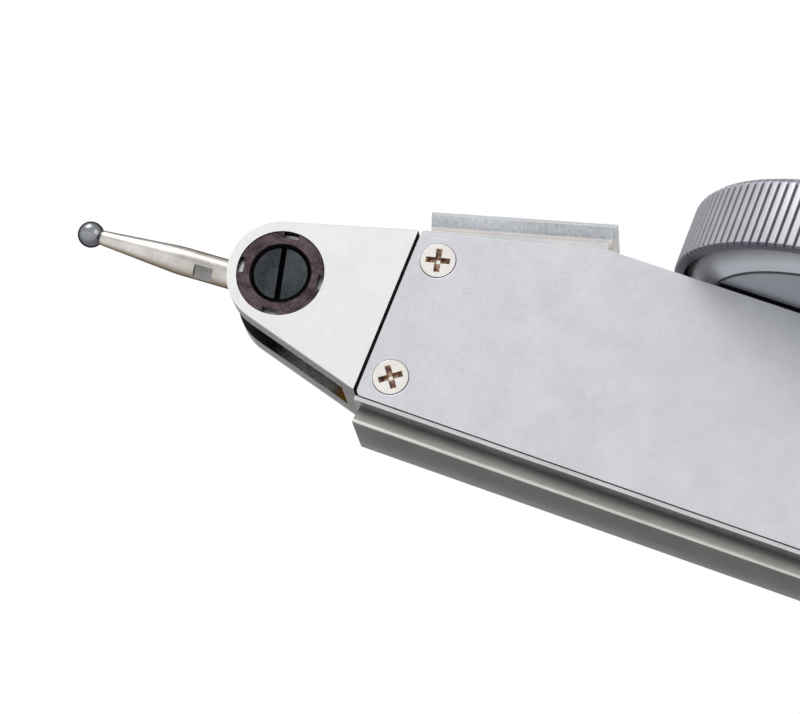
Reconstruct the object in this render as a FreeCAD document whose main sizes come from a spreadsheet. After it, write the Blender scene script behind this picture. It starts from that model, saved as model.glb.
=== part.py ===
"""Dial test indicator of the universal lever type, as a parametric FreeCAD document.

Frame: millimetres, +Z up through the dial, +X from the contact point to the rear, origin at the
centre of the bottom dovetail's base face. The lever pivot's axis and the gear arbor's axis run
along Y, and the hand's axis runs along Z.
"""
import FreeCAD, Part
import math
import os

import Sketcher

SIZES = {
    # dovetails
    "dovetail_width": 6.3,
    "dovetail_land": 0.25,
    "dovetail_rise": 1.45,
    "dovetail_angle": 60.0,
    "dovetail_length": 46.0,
    "front_dovetail_rise": 1.75,
    "front_dovetail_inset": 0.45,
    "rear_dovetail_length": 13.0,
    "rear_dovetail_height": 2.6,
    "rail_root": 0.6,
    # body block
    "body_half": 4.05,
    "body_top": 18.3,
    "front_setback": 0.35,
    "rear_setback": 3.5,
    "wedge_angle": 15.1,
    "wedge_front": 15.26,
    "wedge_length": 13.25,
    "side_wall": 1.1,
    "floor_wall": 1.15,
    "top_wall": 1.1,
    "rear_wall": 5.0,
    "fit_gap": 0.02,
    # cover plate
    "cover_proud": 0.2,
    "cover_thickness": 1.0,
    "cover_foot": 0.35,
    "cover_front_drop": 0.22,
    "cover_top_drop": 0.06,
    "cover_bend_lag": 0.1,
    "cover_rear_margin": 0.3,
    "cover_corner": 0.45,
    # cover screws
    "screw_head": 1.384,
    "screw_head_depth": 0.62,
    "screw_thread": 0.7,
    "screw_length": 3.3,
    "front_screw_inset": 1.94,
    "rear_screw_inset": 2.4,
    "screw_below_pivot": 4.73,
    "screw_above_pivot": 4.76,
    "cross_width": 0.43,
    "cross_length": 1.75,
    "cross_depth": 0.42,
    # neck
    "pivot_reach": 9.0,
    "pivot_height": 8.6,
    "neck_radius": 4.0,
    "neck_taper": 15.6,
    "neck_gap": 0.26,
    "neck_slot": 4.0,
    "slot_floor": 1.3,
    "tenon_length": 3.75,
    "tenon_half": 6.0,
    "tenon_room": 0.6,
    "window_half_height": 2.5,
    "window_half_width": 2.1,
    # pivot
    "ring_radius": 3.23,
    "ring_thickness": 0.9,
    "ring_recess": 0.08,
    "ring_chamfer": 0.22,
    "ring_clearance": 0.04,
    "notch_width": 1.15,
    "notch_depth": 0.45,
    "notch_turn": 6.0,
    "pivot_screw": 2.0,
    "pivot_screw_recess": 0.2,
    "pivot_slot_width": 0.4,
    "pivot_slot_depth": 0.6,
    "pivot_slot_turn": 104.0,
    "trunnion_radius": 0.6,
    "trunnion_length": 0.7,
    "running_gap": 0.03,
    "side_gap": 0.1,
    # stylus
    "stylus_length": 15.92,
    "stylus_tilt": 2.8,
    "ball_radius": 1.0,
    "ball_bite": 0.3,
    "tip_radius": 0.55,
    "shank_radius": 1.08,
    "taper_length": 7.4,
    "flat_start": 7.9,
    "flat_length": 1.45,
    "flat_half": 0.82,
    "hub_radius": 2.0,
    "hub_half": 1.0,
    "shank_step": 0.2,
    "shank_step_start": 0.3,
    "shank_shoulder": 0.1,
    "shank_seat": 0.8,
    # lever
    "ear_radius": 2.3,
    "ear_thickness": 0.75,
    "ear_relief": 0.2,
    "fork_web": 0.9,
    "fork_tang": 3.6,
    "fork_half_height": 1.7,
    "tang_half_height": 1.36,
    "clutch_radius": 0.9,
    "washer_radius": 1.7,
    "washer_gap": 0.04,
    "arm_thickness": 0.8,
    "arm_start_gap": 0.05,
    "arm_root_half": 1.6,
    "arm_half": 0.85,
    "arm_taper": 3.6,
    "rivet_radius": 0.45,
    # gear train
    "sector_module": 0.2,
    "sector_circle_teeth": 402,
    "sector_teeth": 9,
    "sector_depth": 2.6,
    "sector_flare": 3.64,
    "sector_end": 0.3,
    "arbor_pinion_teeth": 14,
    "crown_module": 0.16,
    "crown_teeth": 64,
    "hand_pinion_teeth": 14,
    "tooth_share": 0.42,
    "tooth_root_overlap": 0.05,
    "tooth_end_margin": 0.02,
    "pressure_angle": 20.0,
    "addendum": 0.85,
    "dedendum": 1.15,
    "arbor_radius": 0.6,
    "arbor_pivot": 0.3,
    "arbor_step": 0.35,
    "pivot_end": 0.4,
    "pinion_face": 1.2,
    "crown_disc": 0.45,
    "crown_face": 0.8,
    "crown_hub": 1.2,
    "crown_windows": 5,
    "window_share": 0.32,
    "bush_radius": 0.9,
    "bush_length": 0.6,
    # hand arbor and its bridge
    "hand_arbor_radius": 0.45,
    "hand_pivot": 0.25,
    "hand_end_gap": 0.1,
    "hand_bush_radius": 1.2,
    "bridge_thickness": 0.7,
    "bridge_leg": 0.6,
    "bridge_drop": 5.2,
    "bridge_half": 1.1,
    "bridge_inset": 0.15,
    "bridge_foot_past": 0.68,
    "bridge_flange_reach": 2.6,
    "bridge_flange_width": 1.4,
    # dial case
    "case_gap": 0.26,
    "case_floor": 0.6,
    "case_step": 0.12,
    "case_round": 2.35,
    "case_bulge": 1.3,
    "case_rim_height": 2.94,
    "case_wall": 0.9,
    "case_knee_reach": 1.35,
    "case_knee_rise": 0.34,
    "case_knee_radius": 4.0,
    "case_inner_rise": 0.24,
    "foot_half_length": 9.5,
    "foot_half_width": 3.4,
    "foot_bite": 0.3,
    "case_screw_offset": 7.0,
    "case_screw_head": 1.4,
    "case_screw_head_height": 0.7,
    "case_screw_thread": 0.75,
    "case_screw_past": 0.1,
    "case_slot_width": 0.35,
    "case_slot_depth": 0.3,
    # bezel
    "bezel_radius": 15.0,
    "bezel_wall": 0.75,
    "bezel_gap": 0.05,
    "bezel_lift": 0.64,
    "bezel_low_chamfer": 0.4,
    "lip_height": 1.0,
    "lip_slope": 0.74,
    "bezel_lip": 0.85,
    "knurl_grooves": 126,
    "knurl_depth": 0.22,
    "knurl_width": 0.34,
    "wire_half": 0.22,
    "wire_height": 1.94,
    "wire_split": 14.0,
    # dial and crystal
    "dial_gap": 0.45,
    "dial_thickness": 0.4,
    "dial_edge": 0.55,
    "dial_hole": 1.0,
    "snap_ring_width": 1.0,
    "snap_ring_thickness": 0.2,
    "hand_room": 1.55,
    "crystal_wall": 1.6,
    "ledge_width": 0.65,
    "gasket_thickness": 0.2,
    "crystal_thickness": 0.7,
    "crystal_bevel_rise": 0.25,
    "crystal_bevel": 1.6,
    # hand and hairspring
    "pointer_gap": 0.45,
    "pointer_thickness": 0.15,
    "pointer_short": 2.8,
    "pointer_tail": 3.4,
    "pointer_root": 0.42,
    "pointer_tail_half": 0.55,
    "pointer_tip": 0.1,
    "pointer_eye": 1.1,
    "boss_radius": 0.95,
    "boss_neck": 0.66,
    "boss_drop": 0.25,
    "boss_rise": 0.4,
    "boss_cap": 0.05,
    "collet_radius": 0.85,
    "collet_lift": 0.84,
    "collet_height": 0.6,
    "spring_strip": 0.09,
    "spring_height": 0.3,
    "spring_inner": 1.05,
    "spring_outer": 3.2,
    "spring_turns": 5,
    "stud_radius": 0.3,
    # lever return spring
    "blade_thickness": 0.12,
    "blade_width": 0.9,
    "blade_length": 5.0,
    "blade_lean": 27.8,
    "post_radius": 0.5,
    "post_back": 9.0,
    "post_drop": 3.4,
    "post_past": 0.25,
    # how far a cutting form runs past what it cuts
    "cut_past": 1.0,
}

doc = FreeCAD.newDocument("dial_test_indicator")
sheet = doc.addObject("Spreadsheet::Sheet", "dim")
for row, (alias, value) in enumerate(SIZES.items(), start=1):
    sheet.set(f"A{row}", alias)
    sheet.set(f"B{row}", str(value))
    sheet.setAlias(f"B{row}", alias)
doc.recompute()

# Places worked out from the driving sizes, as expressions.
FRONT = "(-dim.dovetail_length / 2 - dim.front_setback)"
REAR = "(dim.dovetail_length / 2 + dim.rear_setback)"
PIVOT_X = "(-dim.dovetail_length / 2 - dim.pivot_reach)"
PIVOT_Z = "dim.pivot_height"
WEDGE_END = f"({FRONT} + dim.wedge_length)"
WEDGE_TOP = "(dim.wedge_front + dim.wedge_length * tan(dim.wedge_angle * 1 deg))"
FLANK_RUN = "(dim.dovetail_rise - dim.dovetail_land) / tan(dim.dovetail_angle * 1 deg)"
FRONT_FLANK_RUN = "(dim.front_dovetail_rise - dim.dovetail_land) / tan(dim.dovetail_angle * 1 deg)"
RIM_Y = "(-dim.body_half + dim.cover_proud)"
COVER_IN = "(-dim.body_half + dim.cover_thickness)"
COVER_LOW = "(dim.dovetail_rise + dim.cover_foot)"
COVER_TOP = "(dim.body_top - dim.cover_top_drop)"
COVER_FRONT_TOP = "(dim.wedge_front - dim.cover_front_drop)"
COVER_BEND = f"({WEDGE_END} + dim.cover_bend_lag)"
COVER_REAR = f"({REAR} - dim.cover_rear_margin)"
CAVITY_FAR = "(dim.body_half - dim.side_wall)"
CAVITY_LOW = "(dim.dovetail_rise + dim.floor_wall)"
CAVITY_TOP = "(dim.body_top - dim.top_wall)"
CAVITY_REAR = f"({REAR} - dim.rear_wall)"
TENON_TOP = "(dim.pivot_height + dim.tenon_half)"
SCREW_LOW = "(dim.pivot_height - dim.screw_below_pivot)"
SCREW_HIGH = "(dim.pivot_height + dim.screw_above_pivot)"
NECK_BACK = f"({FRONT} - dim.neck_gap)"
NECK_ROOT = (
    f"(dim.neck_radius / cos(dim.neck_taper * 1 deg)"
    f" + ({NECK_BACK} - {PIVOT_X}) * tan(dim.neck_taper * 1 deg))"
)
SEAT_Y = "(dim.body_half - dim.ring_recess - dim.ring_thickness)"
ARM_NEAR = "(-dim.neck_slot / 2 + dim.side_gap)"
ARM_FAR = f"({ARM_NEAR} + dim.arm_thickness)"
FORK_FAR = "(dim.neck_slot / 2 - dim.side_gap)"
WEB_X = f"({PIVOT_X} + dim.ear_radius + dim.ear_relief)"
TANG_X = f"({WEB_X} + dim.fork_web)"
CENTRES = "(dim.sector_module * (dim.sector_circle_teeth + dim.arbor_pinion_teeth) / 2)"
DIAL_X = f"({PIVOT_X} + {CENTRES})"
CROWN_RADIUS = "(dim.crown_module * dim.crown_teeth / 2)"
BRIDGE_FOOT = f"({CAVITY_TOP} - dim.bridge_drop)"
BORE = "(dim.bezel_radius - dim.bezel_wall)"
CASE_RADIUS = f"({BORE} - dim.bezel_gap)"
CASE_FLAT = f"({CASE_RADIUS} - dim.case_round)"
CRYSTAL_RADIUS = "(dim.bezel_radius - dim.crystal_wall)"
LEDGE_RADIUS = f"({CRYSTAL_RADIUS} - dim.ledge_width)"
DIAL_RADIUS = f"({BORE} - dim.dial_edge)"
CASE_LOW = "(dim.body_top + dim.case_gap)"
CASE_FLOOR_TOP = f"({CASE_LOW} + dim.case_floor)"
CASE_RIM = f"({CASE_LOW} + dim.case_rim_height)"
WIRE_Z = f"({CASE_LOW} + dim.wire_height)"
BEZEL_LOW = f"({CASE_LOW} + dim.bezel_lift)"
DIAL_LOW = f"({CASE_RIM} + dim.dial_gap)"
DIAL_TOP = f"({DIAL_LOW} + dim.dial_thickness)"
CRYSTAL_SEAT = f"({DIAL_TOP} + dim.hand_room)"
BEZEL_TOP = f"({CRYSTAL_SEAT} + dim.lip_height)"
KNURL_TOP = f"({BEZEL_TOP} - dim.lip_slope)"
POINTER_LOW = f"({DIAL_TOP} + dim.pointer_gap)"
POINTER_TOP = f"({POINTER_LOW} + dim.pointer_thickness)"
HAND_TOP = f"({POINTER_TOP} + dim.boss_rise)"
COLLET_LOW = f"({CASE_FLOOR_TOP} + dim.collet_lift)"

PARTS = []


def size(alias):
    """A driving size from the sheet, as a number."""
    return float(sheet.get(alias))


def value(expression):
    """The number that an expression gives now."""
    result = sheet.evalExpression(expression.replace("dim.", ""))
    return float(getattr(result, "Value", result))


def bind(item, **expressions):
    """Bind properties of one object to expressions; a double underscore stands for a dot."""
    for name, expression in expressions.items():
        item.setExpression(name.replace("__", "."), expression)
    return item


def place(item, x="0", y="0", z="0", axis=None, angle=0.0):
    """Put an object at an expression-bound point, turned by a fixed angle about an axis."""
    turn = FreeCAD.Rotation(FreeCAD.Vector(*(axis or (0, 0, 1))), angle)
    item.Placement = FreeCAD.Placement(FreeCAD.Vector(value(x), value(y), value(z)), turn)
    for letter, expression in zip("xyz", (x, y, z)):
        if expression != "0":
            item.setExpression(f"Placement.Base.{letter}", expression)
    return item


def keep(item, node):
    """Name an object as a sub-part of the assembly."""
    item.Label = node
    PARTS.append(item)
    return item


def new_body(name):
    return doc.addObject("PartDesign::Body", name)


def origin_plane(body, role):
    return next(item for item in body.Origin.OriginFeatures if item.Role == role)


def polygon_sketch(body, name, role, points, offset="0"):
    """A closed polygon whose corners' distances from the origin are bound to expressions."""
    sketch = body.newObject("Sketcher::SketchObject", name)
    sketch.AttachmentSupport = [(origin_plane(body, role), "")]
    sketch.MapMode = "FlatFace"
    if offset != "0":
        sketch.setExpression("AttachmentOffset.Base.z", offset)
    corners = [FreeCAD.Vector(value(across), value(up), 0) for across, up in points]
    count = len(corners)
    for index in range(count):
        sketch.addGeometry(Part.LineSegment(corners[index], corners[(index + 1) % count]), False)
    for index in range(count):
        sketch.addConstraint(Sketcher.Constraint("Coincident", index, 2, (index + 1) % count, 1))
    for index, (corner, (across, up)) in enumerate(zip(corners, points)):
        for kind, number, expression in (("DistanceX", corner.x, across), ("DistanceY", corner.y, up)):
            label = f"corner{index}{kind[-1]}"
            row = sketch.addConstraint(Sketcher.Constraint(kind, -1, 1, index, 1, number))
            sketch.renameConstraint(row, label)
            sketch.setExpression(f"Constraints.{label}", expression)
    return sketch


def round_corner(sketch, points, index, radius):
    """Round one corner of a polygon sketch with a tangent arc, and keep the corner's own sizes."""
    corner = FreeCAD.Vector(value(points[index][0]), value(points[index][1]), 0)
    nearby = []
    for other in (points[index - 1], points[index + 1]):
        leg = FreeCAD.Vector(value(other[0]), value(other[1]), 0) - corner
        nearby.append(corner + leg.multiply(0.2))
    sketch.fillet(index - 1, index, nearby[0], nearby[1], value(radius), True, True)
    arc = next(
        number for number, shape in enumerate(sketch.Geometry) if isinstance(shape, Part.ArcOfCircle)
    )
    row = sketch.addConstraint(Sketcher.Constraint("Radius", arc, value(radius)))
    sketch.renameConstraint(row, "corner_radius")
    sketch.setExpression("Constraints.corner_radius", radius)


def pad(body, sketch, length, name="Pad"):
    """Pad a sketch along its normal."""
    feature = body.newObject("PartDesign::Pad", name)
    feature.Profile = sketch
    feature.setExpression("Length", length)
    sketch.Visibility = False
    return feature


def pocket(body, sketch, length, name="Pocket"):
    """Cut a sketch forward along its normal, so a cut starts on the sketch's plane."""
    feature = body.newObject("PartDesign::Pocket", name)
    feature.Profile = sketch
    feature.Reversed = True
    feature.setExpression("Length", length)
    return feature


def slab(body, name, points, near, far):
    """Pad an XZ outline from y = near to y = far. The XZ plane's normal points along -Y."""
    sketch = polygon_sketch(body, name + "_outline", "XZ_Plane", points, f"-({far})")
    return pad(body, sketch, f"({far}) - ({near})", name)


def slab_cut(body, name, points, near, far):
    """Cut an XZ outline from y = near to y = far."""
    sketch = polygon_sketch(body, name + "_outline", "XZ_Plane", points, f"-({far})")
    return pocket(body, sketch, f"({far}) - ({near})", name)


def turned(name, points, role="XZ_Plane", axis="V_Axis", angle="360"):
    """A body of revolution, whole or part, about one axis of the sketch's plane."""
    body = new_body(name)
    sketch = polygon_sketch(body, name + "_profile", role, points)
    feature = body.newObject("PartDesign::Revolution", name + "_turn")
    feature.Profile = sketch
    feature.ReferenceAxis = (sketch, [axis])
    feature.setExpression("Angle", angle)
    body.Tip = feature
    return body


def cylinder(name, radius, height, x="0", y="0", z="0", along="z"):
    """A Part cylinder that starts at a point and runs along +X, +Y or +Z."""
    item = doc.addObject("Part::Cylinder", name)
    bind(item, Radius=radius, Height=height)
    turns = {"z": ((0, 0, 1), 0.0), "y": ((1, 0, 0), -90.0), "x": ((0, 1, 0), 90.0)}
    axis, angle = turns[along]
    return place(item, x, y, z, axis, angle)


def box(name, length, width, height, x="0", y="0", z="0"):
    item = doc.addObject("Part::Box", name)
    bind(item, Length=length, Width=width, Height=height)
    return place(item, x, y, z)


def fuse(name, *items):
    item = doc.addObject("Part::MultiFuse", name)
    item.Shapes = list(items)
    item.Refine = True
    return item


def cut(name, base, *tools):
    """Take one tool, or the union of several, away from a base."""
    item = doc.addObject("Part::Cut", name)
    item.Base = base
    item.Tool = tools[0] if len(tools) == 1 else fuse(name + "_tools", *tools)
    item.Refine = True
    return item


def shape_feature(name, shape):
    """A plain feature, for forms that come from a formula."""
    item = doc.addObject("Part::Feature", name)
    item.Shape = shape
    return item


def dovetail_points(rise, run):
    """Half-profile corners of a dovetail: (half width, distance from the base face)."""
    half = "dim.dovetail_width / 2"
    return [(half, "0"), (half, "dim.dovetail_land"), (f"({half} - {run})", rise)]


def mirror_profile(corners):
    """Corners of a dovetail section as (across, from base), carried into the block by its root."""
    right = corners + [(corners[-1][0], f"({corners[-1][1]} + dim.rail_root)")]
    left = [(f"-({across})", up) for across, up in reversed(right)]
    return right + left


# ---------------------------------------------------------------- body block
def body_frame():
    """Hollow frame with its three dovetails, open at the front and on the cover's side."""
    frame = new_body("frame_block")
    outline = [
        (FRONT, "dim.dovetail_rise"),
        (REAR, "dim.dovetail_rise"),
        (REAR, "dim.body_top"),
        (WEDGE_END, "dim.body_top"),
        (WEDGE_END, WEDGE_TOP),
        (FRONT, "dim.wedge_front"),
    ]
    slab(frame, "block", outline, RIM_Y, "dim.body_half")
    gap = "dim.fit_gap"
    rebate = [
        (f"({FRONT} - dim.cut_past)", f"({COVER_LOW} - {gap})"),
        (f"({COVER_REAR} + {gap})", f"({COVER_LOW} - {gap})"),
        (f"({COVER_REAR} + {gap})", f"({COVER_TOP} + {gap})"),
        (COVER_BEND, f"({COVER_TOP} + {gap})"),
        (FRONT, f"({COVER_FRONT_TOP} + {gap})"),
        (f"({FRONT} - dim.cut_past)", f"({COVER_FRONT_TOP} + {gap})"),
    ]
    slab_cut(frame, "cover_rebate", rebate, f"({RIM_Y} - dim.cut_past)", COVER_IN)
    cavity = [
        (f"({FRONT} - dim.cut_past)", CAVITY_LOW),
        (CAVITY_REAR, CAVITY_LOW),
        (CAVITY_REAR, CAVITY_TOP),
        (WEDGE_END, CAVITY_TOP),
        (f"({FRONT} + dim.tenon_length + dim.tenon_room)", TENON_TOP),
        (f"({FRONT} - dim.cut_past)", TENON_TOP),
    ]
    frame.Tip = slab_cut(frame, "movement_cavity", cavity, f"({COVER_IN} - dim.cut_past)", CAVITY_FAR)

    bottom = new_body("bottom_dovetail")
    profile = mirror_profile(dovetail_points("dim.dovetail_rise", FLANK_RUN))
    sketch = polygon_sketch(bottom, "bottom_section", "YZ_Plane", profile, "-dim.dovetail_length / 2")
    bottom.Tip = pad(bottom, sketch, "dim.dovetail_length", "bottom_rail")

    front = new_body("front_dovetail")
    profile = mirror_profile(dovetail_points("dim.front_dovetail_rise", FRONT_FLANK_RUN))
    top_down = [(across, f"-({up})") for across, up in profile]
    sketch = polygon_sketch(front, "front_section", "YZ_Plane", top_down, "dim.front_dovetail_inset")
    front.Tip = pad(front, sketch, "dim.wedge_length * 1.2", "front_rail")
    rise = "dim.front_dovetail_rise"
    place(
        front,
        f"({FRONT} - {rise} * sin(dim.wedge_angle * 1 deg))",
        "0",
        f"(dim.wedge_front + {rise} * cos(dim.wedge_angle * 1 deg))",
        (0, -1, 0),
        size("wedge_angle"),
    )
    front.setExpression("Placement.Rotation.Angle", "dim.wedge_angle")
    beyond = box(
        "beyond_wedge", "dim.wedge_length", "dim.body_half * 2", "dim.wedge_length",
        WEDGE_END, "-dim.body_half", "dim.body_top",
    )
    front_rail = cut("front_rail_trimmed", front, beyond)

    rear = new_body("rear_dovetail")
    profile = mirror_profile(dovetail_points("dim.dovetail_rise", FLANK_RUN))
    sideways = [(f"({REAR} + dim.dovetail_rise - ({up}))", across) for across, up in profile]
    sketch = polygon_sketch(rear, "rear_section", "XY_Plane", sideways, "dim.rear_dovetail_height")
    rear.Tip = pad(rear, sketch, "dim.rear_dovetail_length", "rear_rail")

    solid = fuse("frame_solid", frame, bottom, front_rail, rear)
    tools = []
    for name, height in (("low", SCREW_LOW), ("high", SCREW_HIGH)):
        tools.append(cylinder(
            f"rear_thread_{name}", "dim.screw_thread", "dim.screw_length",
            f"({REAR} - dim.rear_screw_inset)", COVER_IN, height, "y",
        ))
    for name, sign in (("front", "-"), ("rear", "+")):
        tools.append(cylinder(
            f"case_thread_{name}", "dim.case_screw_thread", "dim.top_wall * 3",
            f"({DIAL_X} {sign} dim.case_screw_offset)", "0", f"({CAVITY_TOP} - dim.top_wall)",
        ))
    tools.append(cylinder(
        "hand_bush_hole", "dim.hand_bush_radius", "dim.top_wall * 3",
        DIAL_X, "0", f"({CAVITY_TOP} - dim.top_wall)",
    ))
    tools.append(cylinder(
        "arbor_bush_hole", "dim.bush_radius", "dim.bush_length", DIAL_X, CAVITY_FAR, PIVOT_Z, "y",
    ))
    tools.append(cylinder(
        "post_hole", "dim.post_radius", "dim.side_wall / 2",
        f"({FRONT} + dim.post_back)", CAVITY_FAR, f"({CAVITY_TOP} - dim.post_drop)", "y",
    ))
    keep(cut("frame_cut", solid, *tools), "body_frame")


def cover_outline():
    return [
        (FRONT, COVER_LOW),
        (COVER_REAR, COVER_LOW),
        (COVER_REAR, COVER_TOP),
        (COVER_BEND, COVER_TOP),
        (FRONT, COVER_FRONT_TOP),
    ]


def screw_places():
    """The four cover screws: name, x and z expressions, and the turn of the cross recess."""
    front = f"({FRONT} + dim.front_screw_inset)"
    rear = f"({REAR} - dim.rear_screw_inset)"
    return [
        ("front_high", front, SCREW_HIGH, 12.0),
        ("front_low", front, SCREW_LOW, 32.0),
        ("rear_high", rear, SCREW_HIGH, 70.0),
        ("rear_low", rear, SCREW_LOW, 21.0),
    ]


def side_cover():
    """Flat cover plate let into the frame, countersunk for its four screws."""
    plate = new_body("cover_plate")
    tip = slab(plate, "plate", cover_outline(), "-dim.body_half", COVER_IN)
    plate.Tip = tip
    doc.recompute()
    upright = [
        f"Edge{index}"
        for index, edge in enumerate(tip.Shape.Edges, start=1)
        if abs(edge.tangentAt(edge.FirstParameter).y) > 0.99
    ]
    rounded = plate.newObject("PartDesign::Fillet", "cover_corners")
    rounded.Base = (tip, upright)
    rounded.setExpression("Radius", "dim.cover_corner")
    plate.Tip = rounded
    tools = []
    for name, x, z, _ in screw_places():
        sink = doc.addObject("Part::Cone", f"sink_{name}")
        bind(sink, Radius1="dim.screw_head + dim.fit_gap", Radius2="dim.screw_thread + dim.fit_gap")
        bind(sink, Height="dim.screw_head_depth")
        tools.append(place(sink, x, "-dim.body_half", z, (1, 0, 0), -90.0))
        tools.append(cylinder(
            f"hole_{name}", "dim.screw_thread + dim.fit_gap", "dim.cover_thickness",
            x, "-dim.body_half", z, "y",
        ))
    tools.append(cylinder(
        "near_bush_hole", "dim.bush_radius", "dim.bush_length",
        DIAL_X, f"({COVER_IN} - dim.bush_length)", PIVOT_Z, "y",
    ))
    keep(cut("cover_cut", plate, *tools), "side_cover")


def cover_screws():
    """Four countersunk screws with cross recesses."""
    solids = []
    for name, x, z, turn in screw_places():
        head = doc.addObject("Part::Cone", f"screw_head_{name}")
        bind(head, Radius1="dim.screw_head", Radius2="dim.screw_thread", Height="dim.screw_head_depth")
        place(head, x, "-dim.body_half", z, (1, 0, 0), -90.0)
        shank = cylinder(
            f"screw_shank_{name}", "dim.screw_thread", "dim.screw_length", x, "-dim.body_half", z, "y",
        )
        blades = []
        for blade, angle in (("long", turn), ("cross", turn + 90.0)):
            bar = doc.addObject("Part::Box", f"recess_{blade}_{name}")
            bind(bar, Length="dim.cross_length", Width="dim.cross_depth * 2", Height="dim.cross_width")
            spin = FreeCAD.Rotation(FreeCAD.Vector(0, 1, 0), angle)
            along = spin.multVec(FreeCAD.Vector(1, 0, 0))
            up = spin.multVec(FreeCAD.Vector(0, 0, 1))
            half = "dim.cross_length / 2"
            tall = "dim.cross_width / 2"
            place(
                bar,
                f"({x} - ({along.x}) * {half} - ({up.x}) * {tall})",
                "(-dim.body_half - dim.cross_depth)",
                f"({z} - ({along.z}) * {half} - ({up.z}) * {tall})",
                (0, 1, 0),
                angle,
            )
            blades.append(bar)
        solids.append(cut(f"screw_{name}", fuse(f"screw_blank_{name}", head, shank), *blades))
    group = doc.addObject("Part::Compound", "screw_group")
    group.Links = solids
    keep(group, "cover_screws")


# ---------------------------------------------------------------- neck and pivot
def neck_fork():
    """Forked neck that carries the lever pivot, with a tenon that seats in the frame."""
    neck = new_body("neck_block")
    tangent_x = f"({PIVOT_X} - dim.neck_radius * sin(dim.neck_taper * 1 deg))"
    tangent_z = "dim.neck_radius * cos(dim.neck_taper * 1 deg)"
    wedge = [
        (tangent_x, f"({PIVOT_Z} - {tangent_z})"),
        (NECK_BACK, f"({PIVOT_Z} - {NECK_ROOT})"),
        (NECK_BACK, f"({PIVOT_Z} + {NECK_ROOT})"),
        (tangent_x, f"({PIVOT_Z} + {tangent_z})"),
    ]
    neck.Tip = slab(neck, "neck_wedge", wedge, "-dim.body_half", "dim.body_half")
    nose = cylinder(
        "neck_nose", "dim.neck_radius", "dim.body_half * 2", PIVOT_X, "-dim.body_half", PIVOT_Z, "y",
    )
    tenon = box(
        "neck_tenon", "dim.tenon_length + dim.neck_gap + dim.slot_floor / 2",
        f"{CAVITY_FAR} - {COVER_IN} - dim.fit_gap", f"{TENON_TOP} - {CAVITY_LOW} - dim.fit_gap * 2",
        f"({NECK_BACK} - dim.slot_floor / 2)", COVER_IN, f"({CAVITY_LOW} + dim.fit_gap)",
    )
    solid = fuse("neck_solid", neck, nose, tenon)
    tools = [
        box(
            "neck_slot_cut", f"{NECK_BACK} - {PIVOT_X} - dim.slot_floor + dim.neck_radius * 2",
            "dim.neck_slot", f"{NECK_ROOT} * 4",
            f"({PIVOT_X} - dim.neck_radius * 2)", "(-dim.neck_slot / 2)", f"({PIVOT_Z} - {NECK_ROOT} * 2)",
        ),
        box(
            "tenon_window", "dim.tenon_length + dim.neck_gap + dim.slot_floor + dim.cut_past * 2",
            "dim.window_half_width * 2", "dim.window_half_height * 2",
            f"({NECK_BACK} - dim.slot_floor - dim.cut_past)", "(-dim.window_half_width)",
            f"({PIVOT_Z} - dim.window_half_height)",
        ),
        cylinder(
            "pivot_bore", "dim.pivot_screw", "dim.body_half * 2", PIVOT_X, "-dim.body_half", PIVOT_Z, "y",
        ),
    ]
    for side, start in (("near", "-dim.body_half"), ("far", SEAT_Y)):
        tools.append(cylinder(
            f"ring_seat_{side}", "dim.ring_radius + dim.ring_clearance",
            "dim.ring_thickness + dim.ring_recess", PIVOT_X, start, PIVOT_Z, "y",
        ))
    for name, x, z, _ in screw_places()[:2]:
        tools.append(cylinder(
            f"tenon_thread_{name}", "dim.screw_thread", "dim.screw_length", x, "-dim.body_half", z, "y",
        ))
    keep(cut("neck_cut", solid, *tools), "neck_fork")


def pivot_ring(side, sign):
    """Lock ring with four spanner notches, let into the neck's cheek."""
    outer = f"({sign}1) * (dim.body_half - dim.ring_recess)"
    inner = f"({sign}1) * {SEAT_Y}"
    chamfer_y = f"({sign}1) * (dim.body_half - dim.ring_recess - dim.ring_chamfer)"
    ring = turned(f"ring_turning_{side}", [
        ("(dim.pivot_screw + dim.fit_gap)", inner),
        ("dim.ring_radius", inner),
        ("dim.ring_radius", outer),
        ("(dim.pivot_screw + dim.ring_chamfer)", outer),
        ("(dim.pivot_screw + dim.fit_gap)", chamfer_y),
    ], role="XY_Plane")
    place(ring, PIVOT_X, "0", PIVOT_Z)
    notches = []
    for quarter in range(4):
        angle = size("notch_turn") + 90.0 * quarter
        direction = math.radians(angle)
        notch = doc.addObject("Part::Box", f"notch_{side}_{quarter}")
        bind(notch, Length="dim.notch_depth * 2", Width="dim.body_half", Height="dim.notch_width")
        radial = "(dim.ring_radius - dim.notch_depth)"
        half = "dim.notch_width / 2"
        place(
            notch,
            f"({PIVOT_X} + {radial} * {math.cos(direction)} - ({-math.sin(direction)}) * {half})",
            "-dim.body_half" if sign == "-" else SEAT_Y,
            f"({PIVOT_Z} + {radial} * {math.sin(direction)} - ({math.cos(direction)}) * {half})",
            (0, -1, 0),
            angle,
        )
        if sign == "-":
            bind(notch, Width="dim.ring_thickness + dim.ring_recess")
        notches.append(notch)
    keep(cut(f"ring_cut_{side}", ring, *notches), f"pivot_ring_{side}")


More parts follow.
